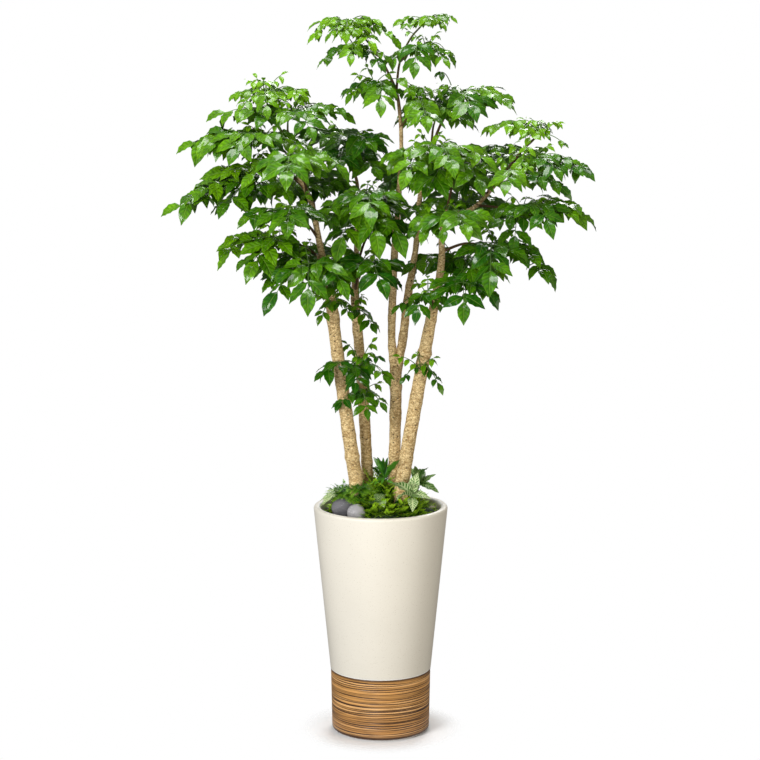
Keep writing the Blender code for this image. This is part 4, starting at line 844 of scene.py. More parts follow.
def apply_modifier(piece, kind, **settings):
    """Add a modifier and apply it."""
    take(piece)
    bpy.ops.object.modifier_add(type=kind)
    modifier = piece.modifiers[-1]
    for name, value in settings.items():
        setattr(modifier, name, value)
    bpy.ops.object.modifier_apply(modifier=modifier.name)


def store(data, name, values):
    """Keep a number for each point of a mesh."""
    found = data.attributes.get(name) or data.attributes.new(name, "FLOAT", "POINT")
    found.data.foreach_set("value", values)


def join_all(pieces, name):
    """Several objects made one."""
    bpy.ops.object.select_all(action="DESELECT")
    for piece in pieces:
        piece.select_set(True)
    bpy.context.view_layer.objects.active = pieces[0]
    if len(pieces) > 1:
        bpy.ops.object.join()
    pieces[0].name = name
    pieces[0].data.name = name
    return pieces[0]


def dress(piece, slot, nodes, *materials):
    """Give a finished piece its materials, attach it to the root body and hide the frame's nodes
    that it stands for. The slot is not used.
    """
    if materials:
        piece.data.materials.clear()
        for material in materials:
            piece.data.materials.append(material)
    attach(piece, ROOT)
    if nodes:
        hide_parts(*nodes)
    return piece


def raise_rings(name, profile, hollow):
    """A round body raised ring by ring along (radius, height) points, from a disc, or from a
    bare ring if it is hollow, which closes on itself."""
    radius, height = profile[0]
    bpy.ops.object.select_all(action="DESELECT")
    bpy.ops.mesh.primitive_circle_add(vertices=POT_STEPS, radius=radius, location=(0, 0, height),
                                      fill_type="NOTHING" if hollow else "NGON")
    piece = settle(bpy.context.object)
    piece.name = name
    with editing(piece):
        bpy.ops.mesh.select_all(action="SELECT")
        for next_radius, next_height in profile[1:] + (profile[:1] if hollow else []):
            bpy.ops.mesh.extrude_region_move(
                TRANSFORM_OT_translate={"value": (0, 0, next_height - height)})
            grow = next_radius / radius
            bpy.ops.transform.resize(value=(grow, grow, 1), center_override=(0, 0, next_height))
            radius, height = next_radius, next_height
        bpy.ops.mesh.select_all(action="SELECT")
        bpy.ops.mesh.remove_doubles(threshold=1e-5)
        bpy.ops.mesh.normals_make_consistent(inside=False)
    return piece


def arc(centre, radius, start, end, steps):
    """Points (radius, height) on an arc, angles in degrees from the outward level."""
    turns = (math.radians(start + (end - start) * k / steps) for k in range(steps + 1))
    return [(centre[0] + radius * math.cos(turn), centre[1] + radius * math.sin(turn))
            for turn in turns]


def make_wall(pot):
    """The cream shell: tapered, with a round rim and a foot inside the wood sleeve."""
    core = SEAM_RADIUS - BAND_THICKNESS - GAP
    lean = math.degrees(math.atan2(RIM_RADIUS - SEAM_RADIUS, POT_HEIGHT - SEAM_HEIGHT))
    low = SEAM_HEIGHT + GAP
    shoulder = POT_HEIGHT - RIM_ROUND
    profile = [(core, 0.0), (core, low)]
    profile += arc((SEAM_RADIUS - SEAM_ROUND, low + SEAM_ROUND), SEAM_ROUND, -90, -lean, 3)
    profile += arc((RIM_RADIUS - RIM_ROUND, shoulder), RIM_ROUND, -lean, 90, 6)
    profile += arc((RIM_RADIUS - RIM_WALL + RIM_ROUND, shoulder), RIM_ROUND, 90, 184, 6)
    profile += [(FLOOR_RADIUS, FLOOR_THICKNESS)]
    wall = raise_rings("pot_wall", profile, hollow=False)
    take(wall)
    bpy.ops.object.shade_smooth_by_angle(angle=math.radians(35))
    return dress(wall, "pot_cream", ["pot_shell"], wall_paint(pot))


def foot_relief(pot):
    """A rule for how deep the foot is cut at an angle and a height, 0 to 1, and how light the
    wood is there: grooves that wander, fade and come back, with a tone for each ridge."""
    rng = random.Random("grooves")
    low, high = BAND_LIFT + 0.5 * FOOT_ROUND, SEAM_HEIGHT - 0.003
    grooves = []
    for k in range(pot.grooves):
        share = (k + 0.5 + rng.uniform(-0.22, 0.22)) / pot.grooves
        grooves.append({
            "height": low + (high - low) * share, "half": rng.uniform(0.0007, 0.0012),
            "deep": rng.choice((0.60, 0.85, 1.0, 1.0)), "sway": rng.uniform(0.0003, 0.0010),
            "turns": rng.choice((1, 2, 3)), "phase": rng.uniform(0, 2 * math.pi),
            "fade": rng.choice((1, 2, 3)), "fade_phase": rng.uniform(0, 2 * math.pi),
            "tone": rng.uniform(0.0, 1.0)})

    def relief(angle, height):
        """The cut and the tone at one place."""
        cut, tone = 0.0, 0.5
        for groove in grooves:
            middle = groove["height"] + groove["sway"] * math.sin(
                groove["turns"] * angle + groove["phase"])
            if height > middle:
                tone = groove["tone"]
            off = abs(height - middle) / groove["half"]
            if off < 1.8:
                strength = 0.74 + 0.34 * math.sin(groove["fade"] * angle + groove["fade_phase"])
                cut = max(cut, groove["deep"] * strength * math.exp(-off * off * 1.1))
        return cut, tone

    return relief


def make_foot(pot):
    """The wood sleeve, its wall cut by wandering grooves."""
    inner = SEAM_RADIUS - BAND_THICKNESS
    corner = (FOOT_RADIUS - FOOT_ROUND, BAND_LIFT + FOOT_ROUND)
    profile = [(inner, BAND_LIFT)] + arc(corner, FOOT_ROUND, -90, 0, 5)
    profile += [(SEAM_RADIUS - 0.0008, SEAM_HEIGHT - 0.001), (SEAM_RADIUS - 0.0018, SEAM_HEIGHT),
                (inner, SEAM_HEIGHT)]
    foot = raise_rings("pot_foot", profile, hollow=True)
    low, high = corner[1], SEAM_HEIGHT - 0.001
    with editing(foot):
        bpy.ops.mesh.select_mode(type="EDGE")
        bpy.ops.mesh.select_all(action="DESELECT")
        mesh = bmesh.from_edit_mesh(foot.data)
        for edge in mesh.edges:
            heights = sorted(v.co.z for v in edge.verts)
            outer = min(v.co.xy.length for v in edge.verts) > inner + 0.004
            edge.select_set(outer and heights[1] - heights[0] > 0.05)
        bmesh.update_edit_mesh(foot.data)
        bpy.ops.mesh.subdivide(number_cuts=118)
    relief = foot_relief(pot)
    cuts, tones = [], []
    for vertex in foot.data.vertices:
        radius = vertex.co.xy.length
        cut, tone = 0.0, 0.5
        if radius > inner + 0.004 and low < vertex.co.z < high:
            cut, tone = relief(math.atan2(vertex.co.y, vertex.co.x), vertex.co.z)
            vertex.co.xy *= 1 - cut * pot.groove_depth / radius
        cuts.append(cut)
        tones.append(tone)
    store(foot.data, "groove", cuts)
    store(foot.data, "ridge", tones)
    take(foot)
    bpy.ops.object.shade_smooth_by_angle(angle=math.radians(70))
    return dress(foot, "band_wood", ["pot_band"], foot_paint(pot))


def smooth_line(points, step):
    """Points every step along a smooth curve through (x, y, z, radius) points."""
    points = [Vector(p) for p in points]
    ends = [2 * points[0] - points[1], *points, 2 * points[-1] - points[-2]]
    line = []
    for a, b, c, d in zip(ends, ends[1:], ends[2:], ends[3:]):
        count = max(1, round((c - b).length / step))
        for k in range(count):
            t = k / count
            line.append(0.5 * (2 * b + (c - a) * t + (2 * a - 5 * b + 4 * c - d) * t * t
                               + (3 * b - a - 3 * c + d) * t * t * t))
    return [*line, points[-1]]


def tube_object(name, lines, resolution):
    """A mesh of capped round tubes along lists of (x, y, z, radius) points."""
    curve = bpy.data.curves.new(name, "CURVE")
    curve.dimensions = "3D"
    curve.bevel_depth = 1.0
    curve.bevel_resolution = resolution
    curve.use_fill_caps = True
    for line in lines:
        spline = curve.splines.new("POLY")
        spline.points.add(len(line) - 1)
        for point, (x, y, z, radius) in zip(spline.points, line):
            point.co = (x, y, z, 1.0)
            point.radius = radius
    found = bpy.data.objects.new(name, curve)
    bpy.context.scene.collection.objects.link(found)
    take(found)
    bpy.ops.object.convert(target="MESH")
    return bpy.context.object


def trunk_line(limb, rng):
    """A thick limb's line, swollen a little where old leaves stood."""
    line = smooth_line(limb, 0.007)
    rings = [rng.uniform(0.45, 1.1) for _ in range(16)]
    marked = []
    for x, y, z, radius in line:
        swell = sum(math.exp(-((z - ring) / 0.006) ** 2) for ring in rings)
        marked.append((x, y, z, radius * (1 + 0.07 * swell)))
    return marked


def limb_line(limb):
    """A thin limb's line, flared where it leaves the wood that carries it."""
    line = smooth_line(limb, 0.012)
    root = Vector(limb[0][:3])
    reach = 3.5 * limb[0][3]
    return [(x, y, z, radius * (1 + 0.7 * max(0.0, 1 - (Vector((x, y, z)) - root).length / reach)))
            for x, y, z, radius in line]


def make_cane(name, cane, bark, relief):
    """One cane with all its limbs, joined in one uneven body of bark."""
    rng = random.Random(name)
    limbs = CANES[name]
    trunks, others = [], []
    for limb_name, limb in limbs.items():
        if limb[0][3] > 0.008:
            trunk = tube_object(limb_name, [trunk_line(limb, rng)], 8)
            apply_modifier(trunk, "DISPLACE", texture=relief, strength=cane.relief * 2,
                           mid_level=0.5, texture_coords="GLOBAL")
            trunks.append(trunk)
        else:
            others.append(tube_object(limb_name, [limb_line(limb)], 2))
    group = bpy.data.collections.new(name + "_limbs")
    for piece in trunks[1:] + others:
        group.objects.link(piece)
    body = trunks[0]
    body.name = "bark_" + name
    apply_modifier(body, "BOOLEAN", operation="UNION", solver="EXACT",
                   operand_type="COLLECTION", collection=group)
    for piece in list(group.objects):
        bpy.data.objects.remove(piece)
    bpy.data.collections.remove(group)
    tree = [Vector(p) for limb in limbs.values() for p in smooth_line(limb, 0.01)]
    near = KDTree(len(tree))
    for k, point in enumerate(tree):
        near.insert(point.xyz, k)
    near.balance()
    radii = []
    for vertex in body.data.vertices:
        around = near.find_range(vertex.co, 0.024) or [near.find(vertex.co)]
        holding = [tree[k][3] for _, k, away in around if away < 1.35 * tree[k][3]]
        radii.append(max(holding, default=tree[near.find(vertex.co)[1]][3]))
    store(body.data, "slim", [min(1.0, max(0.0, (0.0062 - r) / 0.0038)) for r in radii])
    take(body)
    bpy.ops.object.shade_smooth_by_angle(angle=math.radians(50))
    return dress(body, "cane_bark", [name], bark)


def model_leaf(name, outline, width, form):
    """A leaf one metre long along +Y, modelled once: its edges raised and waved, curled down
    from root to tip, and a thin lens across. Its underside has its own UVs."""
    rise, curl, wave, turn = form
    rows = len(outline) - 1
    bpy.ops.object.select_all(action="DESELECT")
    bpy.ops.mesh.primitive_grid_add(x_subdivisions=LEAF_COLUMNS, y_subdivisions=rows, size=1,
                                    location=(0, 0.5, 0))
    leaf = settle(bpy.context.object)
    leaf.name = name
    with editing(leaf):
        for column, lift in ((0.5, 0.5), (0.25, 0.33)):
            pick(lambda co: abs(abs(co.x) - column) < 0.01)
            bpy.ops.transform.translate(value=(0, 0, rise * lift))
        for row, half in enumerate(outline):
            share = row / rows
            half *= 1 + SCALLOP * (1 if row % 2 else -1)
            pick(lambda co: abs(co.y - share) < 0.01)
            bpy.ops.transform.resize(value=(half * width, 1, half * width),
                                     center_override=(0, share, 0))
            bpy.ops.transform.rotate(value=math.radians(turn) * share * share, orient_axis="Y",
                                     center_override=(0, share, 0))
            for side in (1, -1):
                pick(lambda co: abs(co.y - share) < 0.01 and side * co.x > half * width * 0.4)
                lift = wave * (1 if (row + (side > 0)) % 2 else -1) * min(1.0, 1.4 * half)
                bpy.ops.transform.translate(value=(0, 0, lift))
        for row in range(rows - 1, 0, -1):
            pick(lambda co: co.y > row / rows + 0.01)
            bpy.ops.transform.rotate(value=math.radians(curl) / (rows - 1), orient_axis="X",
                                     center_override=(0, row / rows, 0))
        bpy.ops.mesh.select_all(action="SELECT")
        bpy.ops.mesh.duplicate()
        bpy.ops.mesh.flip_normals()
        bpy.ops.transform.shrink_fatten(value=LEAF_SKIN)
        mesh = bmesh.from_edit_mesh(leaf.data)
        chart = mesh.loops.layers.uv.verify()
        for face in mesh.faces:
            if face.select:
                for loop in face.loops:
                    loop[chart].uv.x += 1.0
        bmesh.update_edit_mesh(leaf.data)
        bpy.ops.mesh.select_all(action="DESELECT")
        bpy.ops.mesh.select_mode(type="VERT")
        bpy.ops.mesh.select_non_manifold()
        bpy.ops.mesh.remove_doubles(threshold=LEAF_SKIN * 1.3)
    take(leaf)
    bpy.ops.object.shade_smooth_by_angle(angle=math.radians(100))
    store(leaf.data, "tone", [0.0] * len(leaf.data.vertices))
    return leaf


class Bundle:
    """Many copies of modelled shapes, each with its own mesh, gathered in one body."""

    def __init__(self):
        self.mesh = bmesh.new()

    def add(self, shape, matrix, tone):
        """One more copy of a shape, in its place."""
        copy = shape.data.copy()
        copy.transform(matrix)
        store(copy, "tone", [tone] * len(copy.vertices))
        self.mesh.from_mesh(copy)
        bpy.data.meshes.remove(copy)

    def finish(self, name):
        """The object that holds them all."""
        data = bpy.data.meshes.new(name)
        self.mesh.to_mesh(data)
        self.mesh.free()
        found = bpy.data.objects.new(name, data)
        bpy.context.scene.collection.objects.link(found)
        return found


class Room:
    """What stands already, kept in coarse cells, so that a new blade can be held clear."""

    CELL = 0.06

    def __init__(self):
        self.cells = {}

    def keys(self, points):
        """The cells that a few points span."""
        low = [math.floor(min(p[k] for p in points) / self.CELL) for k in range(3)]
        high = [math.floor(max(p[k] for p in points) / self.CELL) for k in range(3)]
        return [(i, j, k) for i in range(low[0], high[0] + 1)
                for j in range(low[1], high[1] + 1) for k in range(low[2], high[2] + 1)]

    def add(self, points, faces):
        """Let a surface stand here."""
        tree = BVHTree.FromPolygons(points, faces)
        for key in self.keys(points):
            self.cells.setdefault(key, []).append(tree)

    def crossed(self, points, faces):
        """How many standing surfaces a new one would cross."""
        tree = BVHTree.FromPolygons(points, faces)
        met = {id(other): other for key in self.keys(points) for other in self.cells.get(key, ())}
        return sum(1 for other in met.values() if tree.overlap(other))


LEAN_BORDER = 0.10            # y, where leaflets stop leaning to the front
BLADE_FACES = ((0, 1, 3), (0, 3, 2), (1, 4, 3), (2, 3, 4))


class Pose:
    """Where a leaf stands: its root, the direction in which it starts, the direction across it,
    its length and its curl in radians."""

    def __init__(self, root, along, across, length, curl):
        self.root, self.along, self.across = root, along, across
        self.length, self.curl = length, curl
        self.normal = across.cross(along).normalized()

    def at(self, share):
        """A place on the curled midrib."""
        turned = self.curl * share
        ahead = math.sin(turned) / self.curl
        down = (1 - math.cos(turned)) / self.curl
        return self.root + (self.along * ahead - self.normal * down) * self.length

    def lean(self, angle):
        """Roll the leaf's face to the front of the plant, or to the back where that is nearer."""
        side = -1.0 if self.root.y < LEAN_BORDER else 1.0
        turn = Quaternion(self.along, math.radians(angle) * side * self.across.y)
        self.across, self.normal = turn @ self.across, turn @ self.normal
        return self

    def points(self):
        """The leaf as the corners of four triangles, from a little past its root."""
        middle = self.at(0.45)
        half = self.across * LEAFLET_WIDTH * 0.48 * self.length
        return (self.at(LEAFLET_SKIP), middle + half, middle - half, middle, self.at(1.0))

    def matrix(self):
        """The matrix that lays a leaf of unit length here."""
        turn = Matrix((self.across, self.along, self.normal)).transposed().to_4x4()
        return Matrix.Translation(self.root) @ turn @ Matrix.Scale(self.length, 4)


def side_pose(root, tangent, side, droop, sweep, length, curl, roll=0.0):
    """A side leaf: out from its rib, swept forward. It starts near level, and the line from its
    root to its tip hangs by the droop angle."""
    droop, sweep, curl = (math.radians(angle) for angle in (droop, sweep, curl))
    out = side * math.sin(sweep) + tangent * math.cos(sweep)
    flat = (out - UP * out.dot(UP)).normalized()
    pitch = curl / 2 - droop
    along = (flat * math.cos(pitch) + UP * math.sin(pitch)).normalized()
    across = Quaternion(along, math.radians(roll)) @ along.cross(UP).normalized()
    return Pose(root, along, across, length, curl)


def end_pose(root, tangent, droop, length, curl):
    """The leaf at the end of a rib. Its line from root to tip follows the tangent, or hangs
    under it by the droop angle."""
    side = tangent.cross(UP).normalized()
    curl = math.radians(curl)
    along = (Quaternion(side, curl / 2 - math.radians(droop)) @ tangent).normalized()
    across = (side - along * side.dot(along)).normalized()
    return Pose(root, along, across, length, curl)


class Shoot:
    """A leafy shoot: its stem and ribs as lines, and its leaflets as poses."""

    def __init__(self, name, limb, room, length, forms):
        self.name, self.room, self.forms = name, room, forms
        self.young = name in YOUNG_SHOOTS
        self.length = length * (0.86 if self.young else 1.0)
        self.rng = random.Random(name)
        self.lines = []
        self.blades = []
        self.plan_stem(limb)

    def plan_stem(self, limb):
        """The stem, with a place on it for each frond."""
        end, before = Vector(limb[-1][:3]), Vector(limb[-2][:3])
        ahead = (end - before).normalized()
        wanted = SHOOTS[self.name]
        aims = [Vector(frond[:3]) for frond in wanted]
        bend = end + ahead * 0.006
        way = sum(((aim - bend).normalized() for aim in aims), Vector())
        way = (way.normalized() + 0.5 * ahead + 0.35 * UP).normalized()
        order = sorted(range(len(wanted)), key=lambda k: -(aims[k] - bend).normalized().dot(way))
        line = [(*(end - ahead * 0.006), 0.0021), (*end, 0.0021), (*bend, 0.0019)]
        self.fronds = []
        place = bend
        for k in [*sorted(order[1:]), order[0]]:
            place = place + way * 0.009
            line.append((*place, 0.0017))
            self.fronds.append((place.copy(), wanted[k]))
        self.top = place
        self.lines.append(line)

    def grow(self):
        """The main fronds, which reach the crown's outline."""
        for start, (x, y, z, arch, size) in self.fronds:
            for more, rise in ARCH_TRIALS:
                tip = Vector((x, y, z + rise))
                if self.grow_frond(start, tip, arch * more, size):
                    break

    def fill(self):
        """Shorter fronds wherever the main ones leave a wide gap round the stem."""
        if "sprout" in self.name:
            return
        wide = math.radians(FILL_GAP)
        around = []
        for _, (x, y, z, _, _) in self.fronds:
            reach = Vector((x, y, z)) - self.top
            around.append((math.atan2(reach.y, reach.x), reach.xy.length, reach.z))
        around.sort()
        for (first, reach, drop), (second, next_reach, next_drop) in zip(
                around, around[1:] + around[:1]):
            gap = (second - first) % (2 * math.pi) or 2 * math.pi
            count = int(gap / wide)
            for k in range(count):
                heading = first + gap * (k + 1) / (count + 1) + self.rng.uniform(-0.16, 0.16)
                length = 0.5 * (reach + next_reach) * self.rng.uniform(0.62, 0.88)
                length = min(FILL_REACH[1], max(FILL_REACH[0], length))
                sink = 0.4 * (drop + next_drop) + self.rng.uniform(-0.010, 0.015)
                tip = self.top + Vector((math.cos(heading) * length,
                                         math.sin(heading) * length, sink))
                size = 2 if length > 0.125 else 1
                self.grow_frond(self.top, tip, 0.24 * length, size)

    def top_up(self):
        """A tuft of small young fronds at the end of the stem."""
        turn = self.rng.uniform(0, 2 * math.pi)
        for k in range(5 if self.young else 3):
            heading = turn + k * GOLDEN_ANGLE
            lift = math.radians(self.rng.uniform(22, 58))
            reach = self.rng.uniform(*TUFT_REACH)
            tip = self.top + reach * Vector((math.cos(heading) * math.cos(lift),
                                             math.sin(heading) * math.cos(lift),
                                             math.sin(lift)))
            tip.z = min(tip.z, TUFT_TOP)
            self.grow_frond(self.top, tip, 0.16 * reach, 0)

    def grow_frond(self, start, tip, arch, size):
        """One compound leaf along its arch: side ribs, pairs of leaflets and a last one. False
        if its rib would cross what is there."""
        knee = (start + tip) / 2 + UP * 2 * arch
        place = lambda s: start * (1 - s) ** 2 + knee * 2 * s * (1 - s) + tip * s * s
        line = [(*place(LAST_LEAFLET * k / 8), 0.0014 - 0.00008 * k) for k in range(9)]
        if self.room.crossed(*strip(line[2:])):
            return False
        self.lines.append(line)
        total = (tip - start).length
        length = max(LEAFLET_LEAST, min(self.length, LEAFLET_SHARE * total))
        self.tone = self.rng.uniform(0.0, 0.35) + (0.40 if size == 0 else 0.0)
        end = place(LAST_LEAFLET)
        self.add_blade(lambda curl, more, _: end_pose(
            end, (tip - end).normalized(), more, max((tip - end).length * 1.05, 0.8 * length),
            curl))
        step = STATION_STEP[size]
        count = 1 + max(1, round((LAST_STATION - FIRST_STATION) * total / step))
        for k in range(count):
            share = FIRST_STATION + (LAST_STATION - FIRST_STATION) * k / (count - 1)
            pairs = RIB_PAIRS[size][k] if k < len(RIB_PAIRS[size]) else 0
            tangent = (place(share + 0.02) - place(share - 0.02)).normalized()
            side = tangent.cross(UP).normalized()
            for turn in (1, -1):
                root = place(share + self.rng.uniform(-0.014, 0.014))
                if pairs:
                    self.grow_side_rib(root, tangent, side * turn, length, pairs)
                else:
                    self.add_side(root, tangent, side * turn, length, LEAFLET_DROOP)
        return True

    def grow_side_rib(self, root, tangent, side, length, pairs):
        """A short side rib with its own leaflets."""
        sweep = math.radians(60 + self.rng.uniform(-7, 7))
        drop = math.radians(SIDE_RIB_DROOP + self.rng.uniform(-8, 8))
        out = side * math.sin(sweep) + tangent * math.cos(sweep)
        flat = (out - UP * out.dot(UP)).normalized()
        way = flat * math.cos(drop) - UP * math.sin(drop)
        reach = SIDE_RIB_LENGTHS[pairs] * (length / self.length)
        place = lambda s: root + way * reach * s + UP * 0.12 * reach * math.sin(math.pi * s)
        self.lines.append([(*place(k / 4), 0.0010 - 0.0001 * k) for k in range(5)])
        size = length * 0.94
        self.add_blade(lambda curl, more, _: end_pose(place(1.0), way, 16 + more, size, curl))
        over = way.cross(UP).normalized()
        for k in range(pairs):
            share = 0.55 if pairs == 1 else 0.34 + 0.36 * k
            for turn in (1, -1):
                self.add_side(place(share), way, over * turn, size * 0.9, LEAFLET_DROOP - 4)

    def add_side(self, root, tangent, side, length, droop):
        """One of a pair of leaflets."""
        droop += self.rng.uniform(-12, 12)
        sweep = LEAFLET_SWEEP + self.rng.uniform(-8, 8)
        length *= self.rng.uniform(0.88, 1.08)
        roll = self.rng.uniform(-16, 16)
        self.add_blade(lambda curl, more, swept: side_pose(
            root, tangent, side, droop + more, sweep + swept, length, curl, roll))

    def add_blade(self, make_pose):
        """A leaflet in the first pose that crosses nothing. Where none is clear, it is left
        out, unless one shrunk to three quarters fits."""
        form = self.rng.randrange(len(self.forms))
        tone = self.tone + self.rng.uniform(0.0, 0.30)
        curl = LEAFLET_FORMS[form][1]
        lean = LEAFLET_LEAN * self.rng.uniform(0.5, 1.5)
        for shrink in (1.0, 0.75):
            for more, swept in TRIALS:
                pose = make_pose(curl, more, swept).lean(lean)
                pose.length *= shrink
                points = pose.points()
                if not self.room.crossed(points, BLADE_FACES):
                    self.room.add(points, BLADE_FACES)
                    self.blades.append((form, pose, tone))
                    return

    def build(self, leaf, stem):
        """The body of this shoot."""
        bundle = Bundle()
        for form, pose, tone in self.blades:
            height = min(1.0, max(0.0, (pose.root.z - 1.0) / 0.65))
            outward = min(1.0, pose.root.xy.length / 0.5)
            tone += 0.20 * height + 0.15 * outward
            bundle.add(self.forms[form], pose.matrix(), min(1.0, tone))
        leaves = bundle.finish("leaves_" + self.name)
        leaves.data.materials.append(leaf)
        stems = tube_object("stems_" + self.name, self.lines, 1)
        stems.data.materials.append(stem)
        take(stems)
        bpy.ops.object.shade_smooth_by_angle(angle=math.radians(60))
        piece = join_all([leaves, stems], "foliage_" + self.name)
        return dress(piece, "young_leaf" if self.young else "leaf", ["shoot_" + self.name])


def strip(line):
    """A limb or rib as two crossed strips, for the test of what it meets."""
    points, faces = [], []
    for offset in (Vector((1, 0, 0)), Vector((0, 1, 0))):
        first = len(points)
        for x, y, z, radius in line:
            points += [Vector((x, y, z)) + offset * radius, Vector((x, y, z)) - offset * radius]
        for k in range(len(line) - 1):
            a = first + 2 * k
            faces.append((a, a + 1, a + 3, a + 2))
    return points, faces


def make_shoots(leaves):
    """All leafy shoots. Limbs stand before any leaflet is placed, and the fronds that reach the
    crown's outline before those that fill it."""
    room = Room()
    forms = [model_leaf(f"leaflet_form_{k}", LEAFLET_OUTLINE, LEAFLET_WIDTH, form)
             for k, form in enumerate(LEAFLET_FORMS)]
    shoots = []
    for limbs in CANES.values():
        for name, limb in limbs.items():
            line = smooth_line(limb, 0.03)
            for piece in zip(line, line[1:]):
                room.add(*strip(piece))
            shoots.append(Shoot(name, limb, room, leaves.length, forms))
    for stage in (Shoot.grow, Shoot.top_up, Shoot.fill):
        for shoot in shoots:
            stage(shoot)
    old = leaf_paint(leaves, "leaf_green", 0.0)
    young = leaf_paint(leaves, "leaf_young", 0.20)
    stem = stem_paint(leaves)
    for shoot in shoots:
        shoot.build(young if shoot.young else old, stem)
    for form in forms:
        bpy.data.objects.remove(form)


# Low plants: the crown from which the leaves start, the width of a leaf by its length, how many
# more leaves fill the far side, and the tips that the photo shows. All in the frame.
LOW_PLANTS = {
    "rosette_front": ((0.074, -0.074, 0.592), 0.50, 6, (
        (0.016, -0.088, 0.620), (0.028, -0.112, 0.583), (0.076, -0.119, 0.559),
        (0.114, -0.096, 0.580), (0.100, -0.068, 0.628), (0.069, -0.082, 0.626),
        (0.086, -0.084, 0.618), (0.048, -0.098, 0.600), (0.098, -0.110, 0.592))),
    "rosette_right": ((0.089, 0.024, 0.598), 0.32, 5, (
        (0.077, 0.006, 0.645), (0.123, 0.012, 0.641), (0.133, 0.010, 0.618),
        (0.131, -0.024, 0.580), (0.099, -0.004, 0.640), (0.114, -0.014, 0.606),
        (0.072, -0.012, 0.622))),
    "dark_plant": ((0.009, -0.012, 0.622), 0.18, 3, (
        (-0.017, -0.020, 0.673), (0.012, -0.022, 0.671), (0.052, -0.062, 0.672),
        (-0.022, -0.030, 0.650), (-0.020, -0.036, 0.626), (0.024, -0.048, 0.640),
        (0.004, -0.050, 0.610), (-0.010, -0.052, 0.606), (0.030, -0.050, 0.606),
        (-0.026, -0.034, 0.600))),
    "small_variegated": ((-0.002, -0.074, 0.574), 0.80, 2, (
        (-0.015, -0.088, 0.597), (0.017, -0.080, 0.594), (-0.032, -0.092, 0.576),
        (0.006, -0.102, 0.566))),
}
LANCE_WIDTH = 0.35            # narrower leaves are lances
LOW_STEM = 0.0020
LOW_LEAN = 38                 # degrees that a low leaf's face rolls, whichever way shows more of it
VIEW = Vector((0.0, -0.988, 0.154))
BACK_WHORL = ((0.002, 0.058, 0.606), 9, 0.050)
LOW_FORMS = ((0.30, 40, 0.020, 8), (0.38, 54, 0.030, -12), (0.22, 30, 0.018, 14))
# Crown of each part of the fern, how many fronds it has, and their length
FERN = (((-0.086, 0.004, 0.566), 22, 0.066), ((-0.050, -0.057, 0.592), 16, 0.046),
        ((-0.056, -0.053, 0.570), 12, 0.042))
STRANDS = ((-0.134, -0.048, 0.553), (-0.138, -0.030, 0.560), (-0.128, -0.060, 0.560),
           (-0.134, -0.012, 0.580), (-0.124, -0.044, 0.584))
MOUNDS = {
    "moss_front": (0.012, -0.101, 0.044, 0.025, 0.024),
    "moss_right": (0.110, -0.030, 0.022, 0.031, 0.026),
    "moss_back": (0.040, 0.098, 0.044, 0.028, 0.030),
    "moss_left": (-0.055, 0.082, 0.036, 0.028, 0.030),
}
SPRIG_FORMS = ((6, 0.10), (6, 0.22), (6, 0.30))
SPRIG_EDGE = 0.125            # no sprig roots farther from the pot's axis
SPRIG_RISE = 0.064            # of the highest sprig on its stalk, at the axis
SPRIG_LENGTH = (0.050, 0.023) # at the axis and at the edge
STALK = 0.0009
SMALL_CLEAR = (-0.002, -0.096, 0.015)  # none before the small rosette
PEBBLE_CLEAR = (0.024, 0.017) # no sprig stands this far before a pebble, within a radius
PEBBLES = {
    "pebble_dark": (-0.089, -0.040, (0.0285, 0.0190, 0.0242), 12),
    "pebble_grey": (-0.057, -0.083, (0.0215, 0.0150, 0.0220), -8),
    "pebble_beige": (0.124, 0.020, (0.0105, 0.0080, 0.0075), 40),
}
PEBBLE_FLAT = 0.86


def reach_pose(root, tip, form, roll):
    """A leaf from its root to a tip, curled over on the way."""
    curl = LOW_FORMS[form][1]
    chord = tip - root
    half = math.radians(curl) / 2
    pose = end_pose(root, chord.normalized(), 0.0, chord.length * half / math.sin(half), curl)
    turn = Quaternion(pose.along, math.radians(roll))
    leaning = (Pose(root, pose.along, turn @ pose.across, pose.length, pose.curl).lean(angle)
               for angle in (LOW_LEAN, -LOW_LEAN))
    shown = lambda pose: max(pose.normal.dot(VIEW), -0.8 * pose.normal.dot(VIEW))
    return max(leaning, key=shown)


